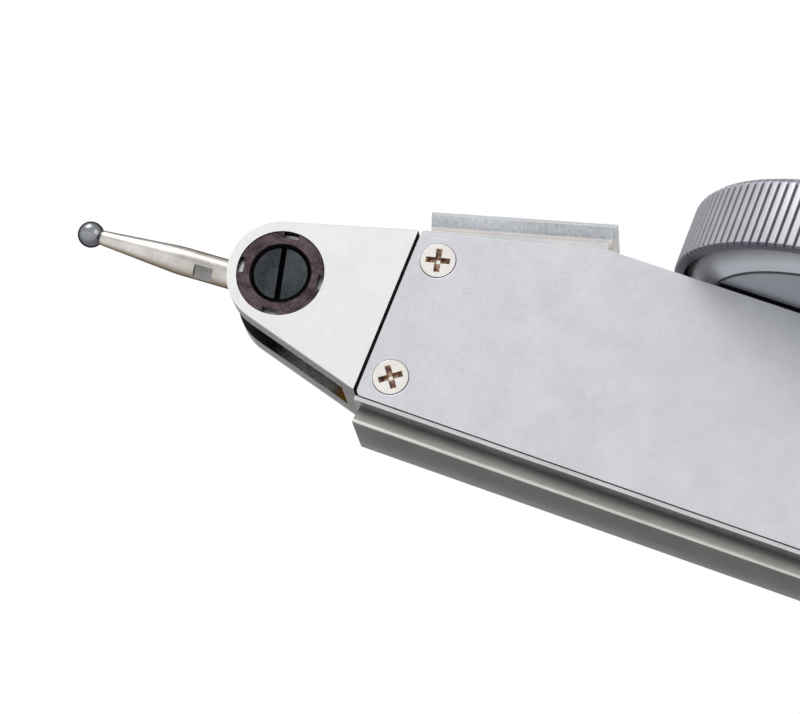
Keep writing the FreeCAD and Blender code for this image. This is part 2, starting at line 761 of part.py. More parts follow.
def pivot_screw(side, sign):
    """Slotted bearing screw whose trunnion carries one end of the lever's fork."""
    head = "(dim.body_half - dim.pivot_screw_recess)"
    shoulder = "(dim.neck_slot / 2 + dim.fit_gap)"
    end = f"({shoulder} - dim.fit_gap - dim.side_gap - dim.trunnion_length)"
    screw = turned(f"screw_turning_{side}", [
        ("0", f"({sign}1) * {end}"),
        ("dim.trunnion_radius", f"({sign}1) * {end}"),
        ("dim.trunnion_radius", f"({sign}1) * {shoulder}"),
        ("dim.pivot_screw", f"({sign}1) * {shoulder}"),
        ("dim.pivot_screw", f"({sign}1) * {head}"),
        ("0", f"({sign}1) * {head}"),
    ], role="XY_Plane")
    place(screw, PIVOT_X, "0", PIVOT_Z)
    turn = size("pivot_slot_turn")
    direction = math.radians(turn)
    slot = doc.addObject("Part::Box", f"screwdriver_slot_{side}")
    bind(slot, Length="(dim.pivot_screw + dim.cut_past) * 2", Width="dim.pivot_slot_depth")
    bind(slot, Height="dim.pivot_slot_width")
    half = "(dim.pivot_screw + dim.cut_past)"
    tall = "dim.pivot_slot_width / 2"
    start = f"-{head}" if sign == "-" else f"({head} - dim.pivot_slot_depth)"
    place(
        slot,
        f"({PIVOT_X} - ({math.cos(direction)}) * {half} - ({-math.sin(direction)}) * {tall})",
        start,
        f"({PIVOT_Z} - ({math.sin(direction)}) * {half} - ({math.cos(direction)}) * {tall})",
        (0, -1, 0),
        turn,
    )
    keep(cut(f"screw_cut_{side}", screw, slot), f"pivot_screw_{side}")


# ---------------------------------------------------------------- stylus
def stylus():
    """Contact point: a ball on a tapered shank that is held in a friction hub."""
    length = "dim.stylus_length"
    shoulder = "(dim.hub_half - dim.shank_shoulder)"
    shank = turned("shank_turning", [
        (f"-({length} - dim.ball_radius + dim.ball_bite)", "0"),
        (f"-({length} - dim.ball_radius + dim.ball_bite)", "dim.tip_radius"),
        (f"-({length} - dim.taper_length)", "dim.shank_radius"),
        ("-(dim.hub_radius + dim.shank_step_start)", "dim.shank_radius"),
        ("-(dim.hub_radius + dim.shank_step_start - dim.shank_step)", shoulder),
        ("-(dim.hub_radius - dim.shank_seat)", shoulder),
        ("-(dim.hub_radius - dim.shank_seat)", "0"),
    ], role="XY_Plane", axis="H_Axis")
    flats = []
    for name, sign in (("near", "-"), ("far", "+")):
        start = "(-dim.shank_radius * 2)" if sign == "-" else "dim.flat_half"
        width = "(dim.shank_radius * 2 - dim.flat_half)"
        flats.append(box(
            f"flat_{name}", "dim.flat_length", width, "dim.shank_radius * 4",
            f"(-{length} + dim.flat_start)", start, "(-dim.shank_radius * 2)",
        ))
    ball_seat = doc.addObject("Part::Sphere", "ball_seat")
    bind(ball_seat, Radius="dim.ball_radius")
    place(ball_seat, f"-{length}")
    hub_seat = cylinder("hub_seat", "dim.hub_radius", "dim.hub_half * 2", "0", "-dim.hub_half", "0", "y")
    shank_cut = cut("shank_cut", shank, ball_seat, hub_seat, *flats)

    ball = doc.addObject("Part::Sphere", "ball_form")
    bind(ball, Radius="dim.ball_radius")
    place(ball, f"-{length}")

    disc = cylinder("hub_disc", "dim.hub_radius", "dim.hub_half * 2", "0", "-dim.hub_half", "0", "y")
    bore = cylinder("hub_bore", "dim.clutch_radius", "dim.hub_half * 4", "0", "-dim.hub_half * 2", "0", "y")
    hub = cut("hub_cut", disc, bore)
    for item, node in ((shank_cut, "stylus_shank"), (ball, "contact_ball"), (hub, "stylus_hub")):
        posed = doc.addObject("Part::Compound", node + "_posed")
        posed.Links = [item]
        place(posed, PIVOT_X, "0", PIVOT_Z, (0, -1, 0), size("stylus_tilt"))
        posed.setExpression("Placement.Rotation.Angle", "dim.stylus_tilt")
        keep(posed, node)


# ---------------------------------------------------------------- lever
def lever_fork():
    """Fork whose two ears turn on the trunnions and clamp the stylus hub between them."""
    ears = []
    for name, start in (("near", ARM_NEAR), ("far", f"({FORK_FAR} - dim.ear_thickness)")):
        ears.append(cylinder(
            f"ear_{name}", "dim.ear_radius", "dim.ear_thickness", PIVOT_X, start, PIVOT_Z, "y",
        ))
        ears.append(box(
            f"ear_strap_{name}", f"{TANG_X} - {PIVOT_X}", "dim.ear_thickness", "dim.fork_half_height * 2",
            PIVOT_X, start, f"({PIVOT_Z} - dim.fork_half_height)",
        ))
    web = box(
        "fork_web_block", "dim.fork_web", f"{FORK_FAR} - {ARM_NEAR}", "dim.fork_half_height * 2",
        WEB_X, ARM_NEAR, f"({PIVOT_Z} - dim.fork_half_height)",
    )
    tang = box(
        "fork_tang_block", "dim.fork_web + dim.fork_tang", f"{FORK_FAR} - {ARM_FAR}",
        "dim.tang_half_height * 2", WEB_X, ARM_FAR, f"({PIVOT_Z} - dim.tang_half_height)",
    )
    solid = fuse("fork_solid", *ears, web, tang)
    tools = [cylinder(
        "trunnion_bore", "dim.trunnion_radius + dim.running_gap", "dim.neck_slot",
        PIVOT_X, "(-dim.neck_slot / 2)", PIVOT_Z, "y",
    )]
    for index in (1, 2):
        tools.append(cylinder(
            f"rivet_hole_{index}", "dim.rivet_radius", "dim.neck_slot",
            f"({TANG_X} + dim.fork_tang * {index} / 3)", ARM_FAR, PIVOT_Z, "y",
        ))
    keep(cut("fork_cut", solid, *tools), "lever_fork")


def lever_axle():
    """Clamp sleeve through the stylus hub, between the fork's two ears."""
    reach = f"({FORK_FAR} - dim.ear_thickness)"
    sleeve = cylinder("sleeve_rod", "dim.clutch_radius", f"{reach} * 2", PIVOT_X, f"-{reach}", PIVOT_Z, "y")
    keep(sleeve, "clutch_sleeve")
    washers = []
    for name, start in (("near", f"-{reach}"), ("far", "dim.hub_half + dim.washer_gap")):
        blank = cylinder(
            f"washer_{name}", "dim.washer_radius", f"{reach} - dim.hub_half - dim.washer_gap",
            PIVOT_X, start, PIVOT_Z, "y",
        )
        bore = cylinder(
            f"washer_bore_{name}", "dim.clutch_radius", "dim.neck_slot * 2",
            PIVOT_X, "-dim.neck_slot", PIVOT_Z, "y",
        )
        washers.append(cut(f"washer_cut_{name}", blank, bore))
    group = doc.addObject("Part::Compound", "washer_group")
    group.Links = washers
    keep(group, "clutch_washers")


def tooth_angles(module, teeth, share):
    """Half angles of an involute tooth at its root, pitch and tip circles."""
    pitch_radius = module * teeth / 2
    pressure = math.radians(size("pressure_angle"))
    base_radius = pitch_radius * math.cos(pressure)
    half_pitch = math.pi * share / teeth
    pitch_roll = math.tan(pressure) - pressure

    def half_angle(radius):
        if radius <= base_radius:
            return half_pitch + pitch_roll
        roll = math.acos(base_radius / radius)
        return half_pitch + pitch_roll - (math.tan(roll) - roll)

    root = pitch_radius - size("dedendum") * module
    tip = pitch_radius + size("addendum") * module
    steps = [root, max(base_radius, root), pitch_radius, tip]
    return [(radius, half_angle(radius)) for radius in steps]


def gear_face(module, teeth, first_turn=0.0):
    """Face of a full spur gear in the XY plane; one tooth's centre lies at first_turn radians."""
    flank = tooth_angles(module, teeth, size("tooth_share"))
    corners = []
    for index in range(teeth):
        centre = first_turn + 2 * math.pi * index / teeth
        for radius, half in flank:
            corners.append((radius, centre - half))
        for radius, half in reversed(flank):
            corners.append((radius, centre + half))
    points = [FreeCAD.Vector(r * math.cos(a), r * math.sin(a), 0) for r, a in corners]
    return Part.Face(Part.makePolygon(points + [points[0]]))


def sector_arm():
    """Long lever arm with the toothed sector on its end, riveted to the fork."""
    module = size("sector_module")
    circle = int(size("sector_circle_teeth"))
    pitch_radius = module * circle / 2
    flank = tooth_angles(module, circle, size("tooth_share"))
    count = int(size("sector_teeth"))
    step = 2 * math.pi / circle
    root_radius = flank[0][0]
    start_x = size("ear_radius") + size("ear_relief") + size("fork_web") + size("arm_start_gap")
    straight_x = start_x + size("fork_tang")
    rim_half = (count / 2 + size("sector_end")) * step
    rim_x = root_radius - size("sector_depth")
    neck_x = rim_x - size("sector_flare")
    lower = [
        (start_x, -size("arm_root_half")),
        (straight_x, -size("arm_root_half")),
        (straight_x + size("arm_taper"), -size("arm_half")),
        (neck_x, -size("arm_half")),
        (rim_x, -root_radius * math.sin(rim_half)),
    ]
    rim = [(root_radius * math.cos(rim_half), -root_radius * math.sin(rim_half))]
    for index in range(count):
        centre = (index - (count - 1) / 2) * step
        for radius, half in flank:
            rim.append((radius * math.cos(centre - half), radius * math.sin(centre - half)))
        for radius, half in reversed(flank):
            rim.append((radius * math.cos(centre + half), radius * math.sin(centre + half)))
    rim.append((root_radius * math.cos(rim_half), root_radius * math.sin(rim_half)))
    upper = [(x, -z) for x, z in reversed(lower)]
    outline = [FreeCAD.Vector(x, 0, z) for x, z in lower + rim + upper]
    face = Part.Face(Part.makePolygon(outline + [outline[0]]))
    plate = face.extrude(FreeCAD.Vector(0, size("arm_thickness"), 0))
    arm = shape_feature("arm_plate", plate)
    place(arm, PIVOT_X, ARM_NEAR, PIVOT_Z)
    tools = []
    for index in (1, 2):
        tools.append(cylinder(
            f"arm_rivet_hole_{index}", "dim.rivet_radius", "dim.neck_slot * 2",
            f"({TANG_X} + dim.fork_tang * {index} / 3)", "(-dim.neck_slot)", PIVOT_Z, "y",
        ))
    keep(cut("arm_cut", arm, *tools), "sector_arm")


def lever_rivets():
    rivets = []
    for index in (1, 2):
        rivets.append(cylinder(
            f"rivet_{index}", "dim.rivet_radius", f"{FORK_FAR} - {ARM_NEAR}",
            f"({TANG_X} + dim.fork_tang * {index} / 3)", ARM_NEAR, PIVOT_Z, "y",
        ))
    group = doc.addObject("Part::Compound", "rivet_group")
    group.Links = rivets
    keep(group, "lever_rivets")


def blade_form(name, width, start_y):
    """The return blade's box: it leans forward and down from the post's centre to its free tip."""
    blade = doc.addObject("Part::Box", name)
    bind(blade, Length="dim.blade_length + dim.post_radius", Width=width, Height="dim.blade_thickness")
    lean = "dim.blade_lean * 1 deg"
    post_x = f"({FRONT} + dim.post_back)"
    post_z = f"({CAVITY_TOP} - dim.post_drop)"
    place(
        blade,
        f"({post_x} - dim.blade_length * cos({lean}) + dim.blade_thickness / 2 * sin({lean}))",
        start_y,
        f"({post_z} - dim.blade_length * sin({lean}) - dim.blade_thickness / 2 * cos({lean}))",
        (0, -1, 0),
        size("blade_lean"),
    )
    blade.setExpression("Placement.Rotation.Angle", "dim.blade_lean")
    return blade


def return_spring():
    """Blade spring that presses the lever arm down, held in a slotted post in the frame's far wall."""
    blade_y = f"({ARM_NEAR} + dim.arm_thickness / 2 - dim.blade_width / 2)"
    keep(blade_form("return_blade", "dim.blade_width", blade_y), "return_spring")
    rod = cylinder(
        "post_rod", "dim.post_radius", f"{CAVITY_FAR} - {blade_y} + dim.post_past + dim.side_wall / 2",
        f"({FRONT} + dim.post_back)", f"({blade_y} - dim.post_past)",
        f"({CAVITY_TOP} - dim.post_drop)", "y",
    )
    keep(cut("post_slotted", rod, blade_form("post_slot", "dim.blade_width", blade_y)), "spring_post")


# ---------------------------------------------------------------- gear train
def gear_arbor():
    """Arbor across the body, with its pinion cut from the solid."""
    near_end = f"({COVER_IN} - dim.pivot_end)"
    far_end = f"({CAVITY_FAR} + dim.pivot_end)"
    staff = turned("arbor_turning", [
        ("0", near_end),
        ("dim.arbor_pivot", near_end),
        ("dim.arbor_pivot", f"({COVER_IN} + dim.arbor_step)"),
        ("dim.arbor_radius", f"({COVER_IN} + dim.arbor_step)"),
        ("dim.arbor_radius", f"({CAVITY_FAR} - dim.arbor_step)"),
        ("dim.arbor_pivot", f"({CAVITY_FAR} - dim.arbor_step)"),
        ("dim.arbor_pivot", far_end),
        ("0", far_end),
    ], role="XY_Plane")
    place(staff, DIAL_X, "0", PIVOT_Z)
    teeth = int(size("arbor_pinion_teeth"))
    facing = math.pi + math.pi / teeth
    blank = gear_face(size("sector_module"), teeth, facing)
    blank = blank.extrude(FreeCAD.Vector(0, 0, size("pinion_face")))
    pinion = shape_feature("arbor_pinion", blank)
    middle = f"({ARM_NEAR} + dim.arm_thickness / 2)"
    place(pinion, DIAL_X, f"({middle} + dim.pinion_face / 2)", PIVOT_Z, (1, 0, 0), 90.0)
    keep(fuse("arbor_with_pinion", staff, pinion), "gear_arbor")


def crown_wheel():
    """Contrate wheel: its teeth stand out of the disc's face and mesh with the hand's pinion."""
    module = size("crown_module")
    teeth = int(size("crown_teeth"))
    radius = module * teeth / 2
    inner = radius - size("crown_face") / 2
    outer = radius + size("crown_face") / 2
    pitch_y = size("hand_pinion_teeth") * module / 2
    tip_y = pitch_y - size("addendum") * module
    root_y = pitch_y + size("dedendum") * module
    half = math.pi * module * size("tooth_share") / 2
    slope = math.tan(math.radians(size("pressure_angle")))
    tip_half = half - (pitch_y - tip_y) * slope
    root_half = half + (root_y - pitch_y) * slope
    across = FreeCAD.Vector(0, 1, 0)
    low = FreeCAD.Vector(0, root_y, 0)
    thick = size("crown_disc")
    disc = Part.makeCylinder(outer, thick, low, across)
    disc = disc.cut(Part.makeCylinder(size("arbor_radius"), thick, low, across))
    windows = int(size("crown_windows"))
    window_radius = (inner - size("crown_hub")) * size("window_share")
    window_reach = (inner + size("crown_hub")) / 2
    for index in range(windows):
        angle = 2 * math.pi * index / windows
        centre = FreeCAD.Vector(window_reach * math.cos(angle), root_y, window_reach * math.sin(angle))
        disc = disc.cut(Part.makeCylinder(window_radius, thick, centre, across))
    buried = root_y + size("tooth_root_overlap")
    profile = [
        FreeCAD.Vector(-root_half, buried, inner),
        FreeCAD.Vector(-tip_half, tip_y, inner),
        FreeCAD.Vector(tip_half, tip_y, inner),
        FreeCAD.Vector(root_half, buried, inner),
    ]
    face = Part.Face(Part.makePolygon(profile + [profile[0]]))
    tooth = face.extrude(FreeCAD.Vector(0, 0, outer - inner - size("tooth_end_margin")))
    solids = []
    for index in range(teeth):
        copy = tooth.copy()
        copy.rotate(FreeCAD.Vector(0, 0, 0), across, (index + 0.5) * 360.0 / teeth)
        solids.append(copy)
    wheel = shape_feature("crown_form", disc.multiFuse(solids))
    place(wheel, DIAL_X, "0", PIVOT_Z)
    keep(wheel, "crown_wheel")


def bushes():
    """Bearing bushes of the gear arbor, near and far."""
    for side, start in (("near", f"({COVER_IN} - dim.bush_length)"), ("far", CAVITY_FAR)):
        blank = cylinder(
            f"bush_blank_{side}", "dim.bush_radius", "dim.bush_length", DIAL_X, start, PIVOT_Z, "y",
        )
        bore = cylinder(
            f"bush_bore_{side}", "dim.arbor_pivot + dim.running_gap", "dim.bush_length * 3",
            DIAL_X, f"({start} - dim.bush_length)", PIVOT_Z, "y",
        )
        keep(cut(f"bush_cut_{side}", blank, bore), f"arbor_bush_{side}")


def hand_arbor():
    """Hand arbor with its pinion, standing in the frame under the dial, and its upper bush."""
    mesh_z = f"({PIVOT_Z} + {CROWN_RADIUS})"
    end = f"({BRIDGE_FOOT} + dim.hand_end_gap)"
    shoulder = f"({BRIDGE_FOOT} + dim.bridge_thickness + dim.hand_end_gap)"
    staff = turned("hand_staff", [
        ("0", end),
        ("dim.hand_pivot", end),
        ("dim.hand_pivot", shoulder),
        ("dim.hand_arbor_radius", shoulder),
        ("dim.hand_arbor_radius", HAND_TOP),
        ("0", HAND_TOP),
    ])
    place(staff, DIAL_X)
    teeth = int(size("hand_pinion_teeth"))
    blank = gear_face(size("crown_module"), teeth, math.pi / 2)
    blank = blank.extrude(FreeCAD.Vector(0, 0, size("crown_face")))
    pinion = shape_feature("hand_pinion", blank)
    place(pinion, DIAL_X, "0", f"({mesh_z} - dim.crown_face / 2)")
    keep(fuse("hand_staff_with_pinion", staff, pinion), "hand_arbor")
    bore = "(dim.hand_arbor_radius + dim.running_gap)"
    ring_node("hand_bush", bore, "dim.hand_bush_radius", CAVITY_TOP, "dim.top_wall")


def hand_bridge():
    """Bracket hung from the frame's roof, with the hand arbor's lower bearing in its foot."""
    near = f"({COVER_IN} + dim.bridge_inset)"
    left = f"({DIAL_X} - dim.bridge_half)"
    leg = box(
        "bridge_leg_plate", "dim.bridge_half * 2", "dim.bridge_leg", "dim.bridge_drop",
        left, near, BRIDGE_FOOT,
    )
    foot = box(
        "bridge_foot_plate", "dim.bridge_half * 2", f"dim.bridge_foot_past - {near}",
        "dim.bridge_thickness", left, near, BRIDGE_FOOT,
    )
    flange = box(
        "bridge_flange", "dim.bridge_half * 2 + dim.bridge_flange_reach", "dim.bridge_flange_width",
        "dim.bridge_thickness", left, near, f"({CAVITY_TOP} - dim.bridge_thickness)",
    )
    bore = cylinder(
        "bridge_bore", "dim.hand_pivot + dim.running_gap", "dim.bridge_thickness * 3",
        DIAL_X, "0", f"({BRIDGE_FOOT} - dim.bridge_thickness)",
    )
    keep(cut("bridge_cut", fuse("bridge_solid", leg, foot, flange), bore), "hand_bridge")


# ---------------------------------------------------------------- dial case, bezel and dial
def dial_case():
    """Spun saucer that carries the bezel, with the foot that it stands on and its two screws."""
    saucer = new_body("case_turning")
    outer_low = f"({CASE_LOW} + dim.case_step)"
    knee_radius = f"({CASE_FLAT} + dim.case_knee_reach)"
    knee_z = f"({outer_low} + dim.case_knee_rise)"
    bulge = f"({outer_low} + dim.case_bulge)"
    inner = f"({CASE_RADIUS} - dim.case_wall)"
    groove = f"({CASE_RADIUS} - dim.wire_half)"
    profile = [
        ("0", CASE_LOW),
        (CASE_FLAT, CASE_LOW),
        (CASE_FLAT, outer_low),
        (knee_radius, knee_z),
        (CASE_RADIUS, bulge),
        (CASE_RADIUS, f"({WIRE_Z} - dim.wire_half)"),
        (groove, f"({WIRE_Z} - dim.wire_half)"),
        (groove, f"({WIRE_Z} + dim.wire_half)"),
        (CASE_RADIUS, f"({WIRE_Z} + dim.wire_half)"),
        (CASE_RADIUS, CASE_RIM),
        (inner, CASE_RIM),
        (inner, f"({bulge} + dim.case_inner_rise)"),
        (f"({CASE_FLAT} - dim.case_floor)", CASE_FLOOR_TOP),
        ("0", CASE_FLOOR_TOP),
    ]
    sketch = polygon_sketch(saucer, "case_profile", "XZ_Plane", profile)
    round_corner(sketch, profile, profile.index((knee_radius, knee_z)), "dim.case_knee_radius")
    turning = saucer.newObject("PartDesign::Revolution", "case_turn")
    turning.Profile = sketch
    turning.ReferenceAxis = (sketch, ["V_Axis"])
    turning.Angle = 360.0
    saucer.Tip = turning
    place(saucer, DIAL_X)
    foot = box(
        "case_foot", "dim.foot_half_length * 2", "dim.foot_half_width * 2", "dim.case_gap + dim.foot_bite",
        f"({DIAL_X} - dim.foot_half_length)", "(-dim.foot_half_width)", "dim.body_top",
    )
    reach = f"{CASE_FLOOR_TOP} - dim.body_top"
    tools = [cylinder("case_centre_hole", "dim.hand_bush_radius", reach, DIAL_X, "0", "dim.body_top")]
    screws = []
    for name, sign in (("front", "-"), ("rear", "+")):
        x = f"({DIAL_X} {sign} dim.case_screw_offset)"
        tools.append(cylinder(
            f"case_screw_hole_{name}", "dim.case_screw_thread", reach, x, "0", "dim.body_top",
        ))
        head = cylinder(
            f"case_screw_head_{name}", "dim.case_screw_head", "dim.case_screw_head_height",
            x, "0", CASE_FLOOR_TOP,
        )
        shank = cylinder(
            f"case_screw_shank_{name}", "dim.case_screw_thread",
            f"{CASE_FLOOR_TOP} - {CAVITY_TOP} + dim.case_screw_past", x, "0", CAVITY_TOP,
        )
        slot = box(
            f"case_screw_slot_{name}", "dim.case_screw_head * 2", "dim.case_slot_width",
            "dim.case_slot_depth", f"({x} - dim.case_screw_head)", "(-dim.case_slot_width / 2)",
            f"({CASE_FLOOR_TOP} + dim.case_screw_head_height - dim.case_slot_depth)",
        )
        blank = fuse(f"case_screw_blank_{name}", head, shank)
        screws.append(cut(f"case_screw_cut_{name}", blank, slot))
    keep(cut("case_cut", fuse("case_solid", saucer, foot), *tools), "dial_case")
    group = doc.addObject("Part::Compound", "case_screw_group")
    group.Links = screws
    keep(group, "case_screws")


def wire_ring():
    """Split ring in the case's groove, which stands out into the bezel's groove and keeps it on."""
    ring = turned("wire_ring_turning", [
        (f"({CASE_RADIUS} - dim.wire_half)", "(-dim.wire_half)"),
        (f"({CASE_RADIUS} + dim.wire_half)", "(-dim.wire_half)"),
        (f"({CASE_RADIUS} + dim.wire_half)", "dim.wire_half"),
        (f"({CASE_RADIUS} - dim.wire_half)", "dim.wire_half"),
    ], angle="360 - dim.wire_split")
    place(ring, DIAL_X, "0", WIRE_Z)
    keep(ring, "bezel_wire_ring")


def bezel():
    """Turning bezel: a coin-edge ring, cut from a grooved prism and a turned ring."""
    groove = f"({CASE_RADIUS} + dim.wire_half + dim.bezel_gap)"
    outside = "(dim.bezel_radius + dim.fit_gap)"
    shoulder = "(dim.bezel_radius - dim.knurl_depth - dim.fit_gap)"
    ring = turned("bezel_turning", [
        (BORE, BEZEL_LOW),
        (f"({shoulder} - dim.bezel_low_chamfer)", BEZEL_LOW),
        (shoulder, f"({BEZEL_LOW} + dim.bezel_low_chamfer)"),
        (outside, f"({BEZEL_LOW} + dim.bezel_low_chamfer)"),
        (outside, KNURL_TOP),
        (shoulder, KNURL_TOP),
        (f"({outside} - dim.bezel_lip)", BEZEL_TOP),
        (f"({CRYSTAL_RADIUS} + dim.fit_gap)", BEZEL_TOP),
        (f"({CRYSTAL_RADIUS} + dim.fit_gap)", CRYSTAL_SEAT),
        (LEDGE_RADIUS, CRYSTAL_SEAT),
        (LEDGE_RADIUS, DIAL_TOP),
        (BORE, DIAL_TOP),
        (BORE, f"({WIRE_Z} + dim.wire_half + dim.bezel_gap)"),
        (groove, f"({WIRE_Z} + dim.wire_half + dim.bezel_gap)"),
        (groove, f"({WIRE_Z} - dim.wire_half - dim.bezel_gap)"),
        (BORE, f"({WIRE_Z} - dim.wire_half - dim.bezel_gap)"),
    ])
    grooves = int(size("knurl_grooves"))
    land = size("bezel_radius")
    valley = land - size("knurl_depth")
    half = size("knurl_width") / 2 / land
    corners = []
    for index in range(grooves):
        angle = 2 * math.pi * index / grooves
        for reach, turn in ((land, angle - half), (valley, angle), (land, angle + half)):
            corners.append(FreeCAD.Vector(reach * math.cos(turn), reach * math.sin(turn), 0))
    face = Part.Face(Part.makePolygon(corners + [corners[0]]))
    prism = face.extrude(FreeCAD.Vector(0, 0, value(f"{BEZEL_TOP} - {BEZEL_LOW}")))
    prism.translate(FreeCAD.Vector(0, 0, value(BEZEL_LOW)))
    knurled = doc.addObject("Part::Common", "bezel_common")
    knurled.Base = ring
    knurled.Tool = shape_feature("knurl_prism", prism)
    place(knurled, DIAL_X)
    keep(knurled, "bezel")


def ring_node(node, inner, outer, low, height):
    """A flat ring about the hand's axis."""
    blank = cylinder(node + "_blank", outer, height, DIAL_X, "0", low)
    hole = cylinder(node + "_hole", inner, f"({height}) * 3", DIAL_X, "0", f"({low} - ({height}))")
    keep(cut(node + "_cut", blank, hole), node)


def dial_and_crystal():
    """Dial plate, the ring that snaps it into the bezel, the gasket and the bevelled crystal."""
    ring_node("dial_plate", "dim.dial_hole", DIAL_RADIUS, DIAL_LOW, "dim.dial_thickness")
    ring_node(
        "dial_snap_ring", f"({BORE} - dim.snap_ring_width)", BORE,
        f"({DIAL_LOW} - dim.snap_ring_thickness)", "dim.snap_ring_thickness",
    )
    ring_node("crystal_gasket", LEDGE_RADIUS, CRYSTAL_RADIUS, CRYSTAL_SEAT, "dim.gasket_thickness")
    low = f"({CRYSTAL_SEAT} + dim.gasket_thickness)"
    edge = f"({low} + dim.crystal_thickness)"
    top = f"({edge} + dim.crystal_bevel_rise)"
    crystal = turned("crystal_turning", [
        ("0", low),
        (CRYSTAL_RADIUS, low),
        (CRYSTAL_RADIUS, edge),
        (f"({CRYSTAL_RADIUS} - dim.crystal_bevel)", top),
        ("0", top),
    ])
    place(crystal, DIAL_X)
    keep(crystal, "crystal")


def pointer():
    """Hand: a tapered blade with a counterweight tail, pressed on the arbor by its boss."""
    blade = new_body("pointer_blade")
    reach = f"({DIAL_RADIUS} - dim.pointer_short)"
    outline = [
        ("(-dim.pointer_root)", "0"),
        ("(-dim.pointer_tail_half)", "(-dim.pointer_tail)"),
        ("dim.pointer_tail_half", "(-dim.pointer_tail)"),
        ("dim.pointer_root", "0"),
        ("dim.pointer_tip", reach),
        ("(-dim.pointer_tip)", reach),
    ]
    sketch = polygon_sketch(blade, "pointer_outline", "XY_Plane", outline)
    blade.Tip = pad(blade, sketch, "dim.pointer_thickness", "pointer_pad")
    place(blade, DIAL_X, "0", POINTER_LOW, (0, 0, 1), 90.0)
    eye = cylinder("pointer_disc", "dim.pointer_eye", "dim.pointer_thickness", DIAL_X, "0", POINTER_LOW)
    hole = cylinder("pointer_hole", "dim.boss_neck", "dim.pointer_thickness", DIAL_X, "0", POINTER_LOW)
    keep(cut("pointer_cut", fuse("pointer_form", blade, eye), hole), "pointer")
    low = f"({POINTER_LOW} - dim.boss_drop)"
    top = f"({HAND_TOP} + dim.boss_cap)"
    hub = turned("boss_turning", [
        ("dim.hand_arbor_radius", low),
        ("dim.boss_neck", low),
        ("dim.boss_neck", POINTER_TOP),
        ("dim.boss_radius", POINTER_TOP),
        ("dim.boss_radius", top),
        ("dim.hand_arbor_radius", top),
    ])
    place(hub, DIAL_X)
    keep(hub, "pointer_boss")


def hairspring():
    """Spiral hairspring that takes up the backlash, with its collet and stud."""
    ring_node(
        "hairspring_collet", "dim.hand_arbor_radius", "dim.collet_radius", COLLET_LOW, "dim.collet_height",
    )
    turns = int(size("spring_turns"))
    inner = size("spring_inner")
    outer = size("spring_outer")
    strip = size("spring_strip") / 2
    steps = turns * 20
    edges = {"out": [], "in": []}
    for index in range(steps + 1):
        angle = 2 * math.pi * turns * index / steps
        radius = inner + (outer - inner) * index / steps
        for side, reach in (("out", radius + strip), ("in", radius - strip)):
            edges[side].append(FreeCAD.Vector(reach * math.cos(angle), reach * math.sin(angle), 0))
    outline = edges["out"] + edges["in"][::-1]
    face = Part.Face(Part.makePolygon(outline + [outline[0]]))
    spring = shape_feature("spiral_strip", face.extrude(FreeCAD.Vector(0, 0, size("spring_height"))))
    place(spring, DIAL_X, "0", f"({COLLET_LOW} + dim.collet_height / 2 - dim.spring_height / 2)")
    keep(spring, "hairspring")
    stud = cylinder(
        "stud_rod", "dim.stud_radius", f"{COLLET_LOW} + dim.collet_height - {CASE_FLOOR_TOP}",
        f"({DIAL_X} + dim.spring_outer + dim.spring_strip / 2 + dim.stud_radius)", "0", CASE_FLOOR_TOP,
    )
    keep(stud, "hairspring_stud")


def check_and_write():
    """Stop if any object failed, then write one STEP file for each sub-part."""
    doc.recompute()
    for item in doc.Objects:
        if "Invalid" in item.State or "Error" in item.State:
            raise RuntimeError(f"{item.Label} failed: {item.State}")
    os.makedirs("parts", exist_ok=True)
    for item in PARTS:
        shape = item.Shape
        if shape.isNull() or not shape.isValid() or not shape.Solids:
            raise RuntimeError(f"{item.Label} has no valid solid")
        shape.exportStep(f"parts/{item.Label}.step")
        print(item.Label, len(shape.Solids), round(shape.Volume, 3))


body_frame()
side_cover()
cover_screws()
neck_fork()
for side_name, side_sign in (("near", "-"), ("far", "+")):
    pivot_ring(side_name, side_sign)
    pivot_screw(side_name, side_sign)
stylus()
lever_fork()
lever_axle()
sector_arm()
lever_rivets()
return_spring()
gear_arbor()
crown_wheel()
bushes()
hand_arbor()
hand_bridge()
dial_case()
wire_ring()
bezel()
dial_and_crystal()
pointer()
hairspring()
check_and_write()
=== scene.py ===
"""Looks of a lever-type dial test indicator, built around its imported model.

Every length is in metres in the model's own frame: +Z up through the dial, +X from the contact
ball to the rear, and the origin at the centre of the bottom dovetail's base. Sizes in the classes
are written in millimetres and turned to metres by mm().
"""

import logging
import math
from collections.abc import Callable, Iterable, Mapping, Sequence
from dataclasses import dataclass
from enum import Enum

import bmesh
import bpy
from mathutils import Matrix, Vector


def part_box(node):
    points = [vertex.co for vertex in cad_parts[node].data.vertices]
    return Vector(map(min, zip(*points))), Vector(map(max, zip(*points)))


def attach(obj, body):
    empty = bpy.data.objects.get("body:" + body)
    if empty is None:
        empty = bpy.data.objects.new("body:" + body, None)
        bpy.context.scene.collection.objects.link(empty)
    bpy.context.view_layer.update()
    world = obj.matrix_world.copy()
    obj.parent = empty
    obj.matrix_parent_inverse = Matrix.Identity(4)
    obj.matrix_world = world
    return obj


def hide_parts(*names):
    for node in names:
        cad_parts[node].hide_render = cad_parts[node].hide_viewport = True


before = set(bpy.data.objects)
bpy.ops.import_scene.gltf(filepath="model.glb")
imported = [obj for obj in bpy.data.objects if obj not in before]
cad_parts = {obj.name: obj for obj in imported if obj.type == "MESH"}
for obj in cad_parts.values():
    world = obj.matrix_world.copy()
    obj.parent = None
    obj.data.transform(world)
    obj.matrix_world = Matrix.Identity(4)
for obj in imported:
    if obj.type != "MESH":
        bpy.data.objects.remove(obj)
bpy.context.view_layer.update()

LOG = logging.getLogger("indicator")
WELD = 1e-7
FULL_TURN = 2 * math.pi
FAR = 1000.0
FLAT_ANGLE = 0.4
EASED_ANGLE = 35.0
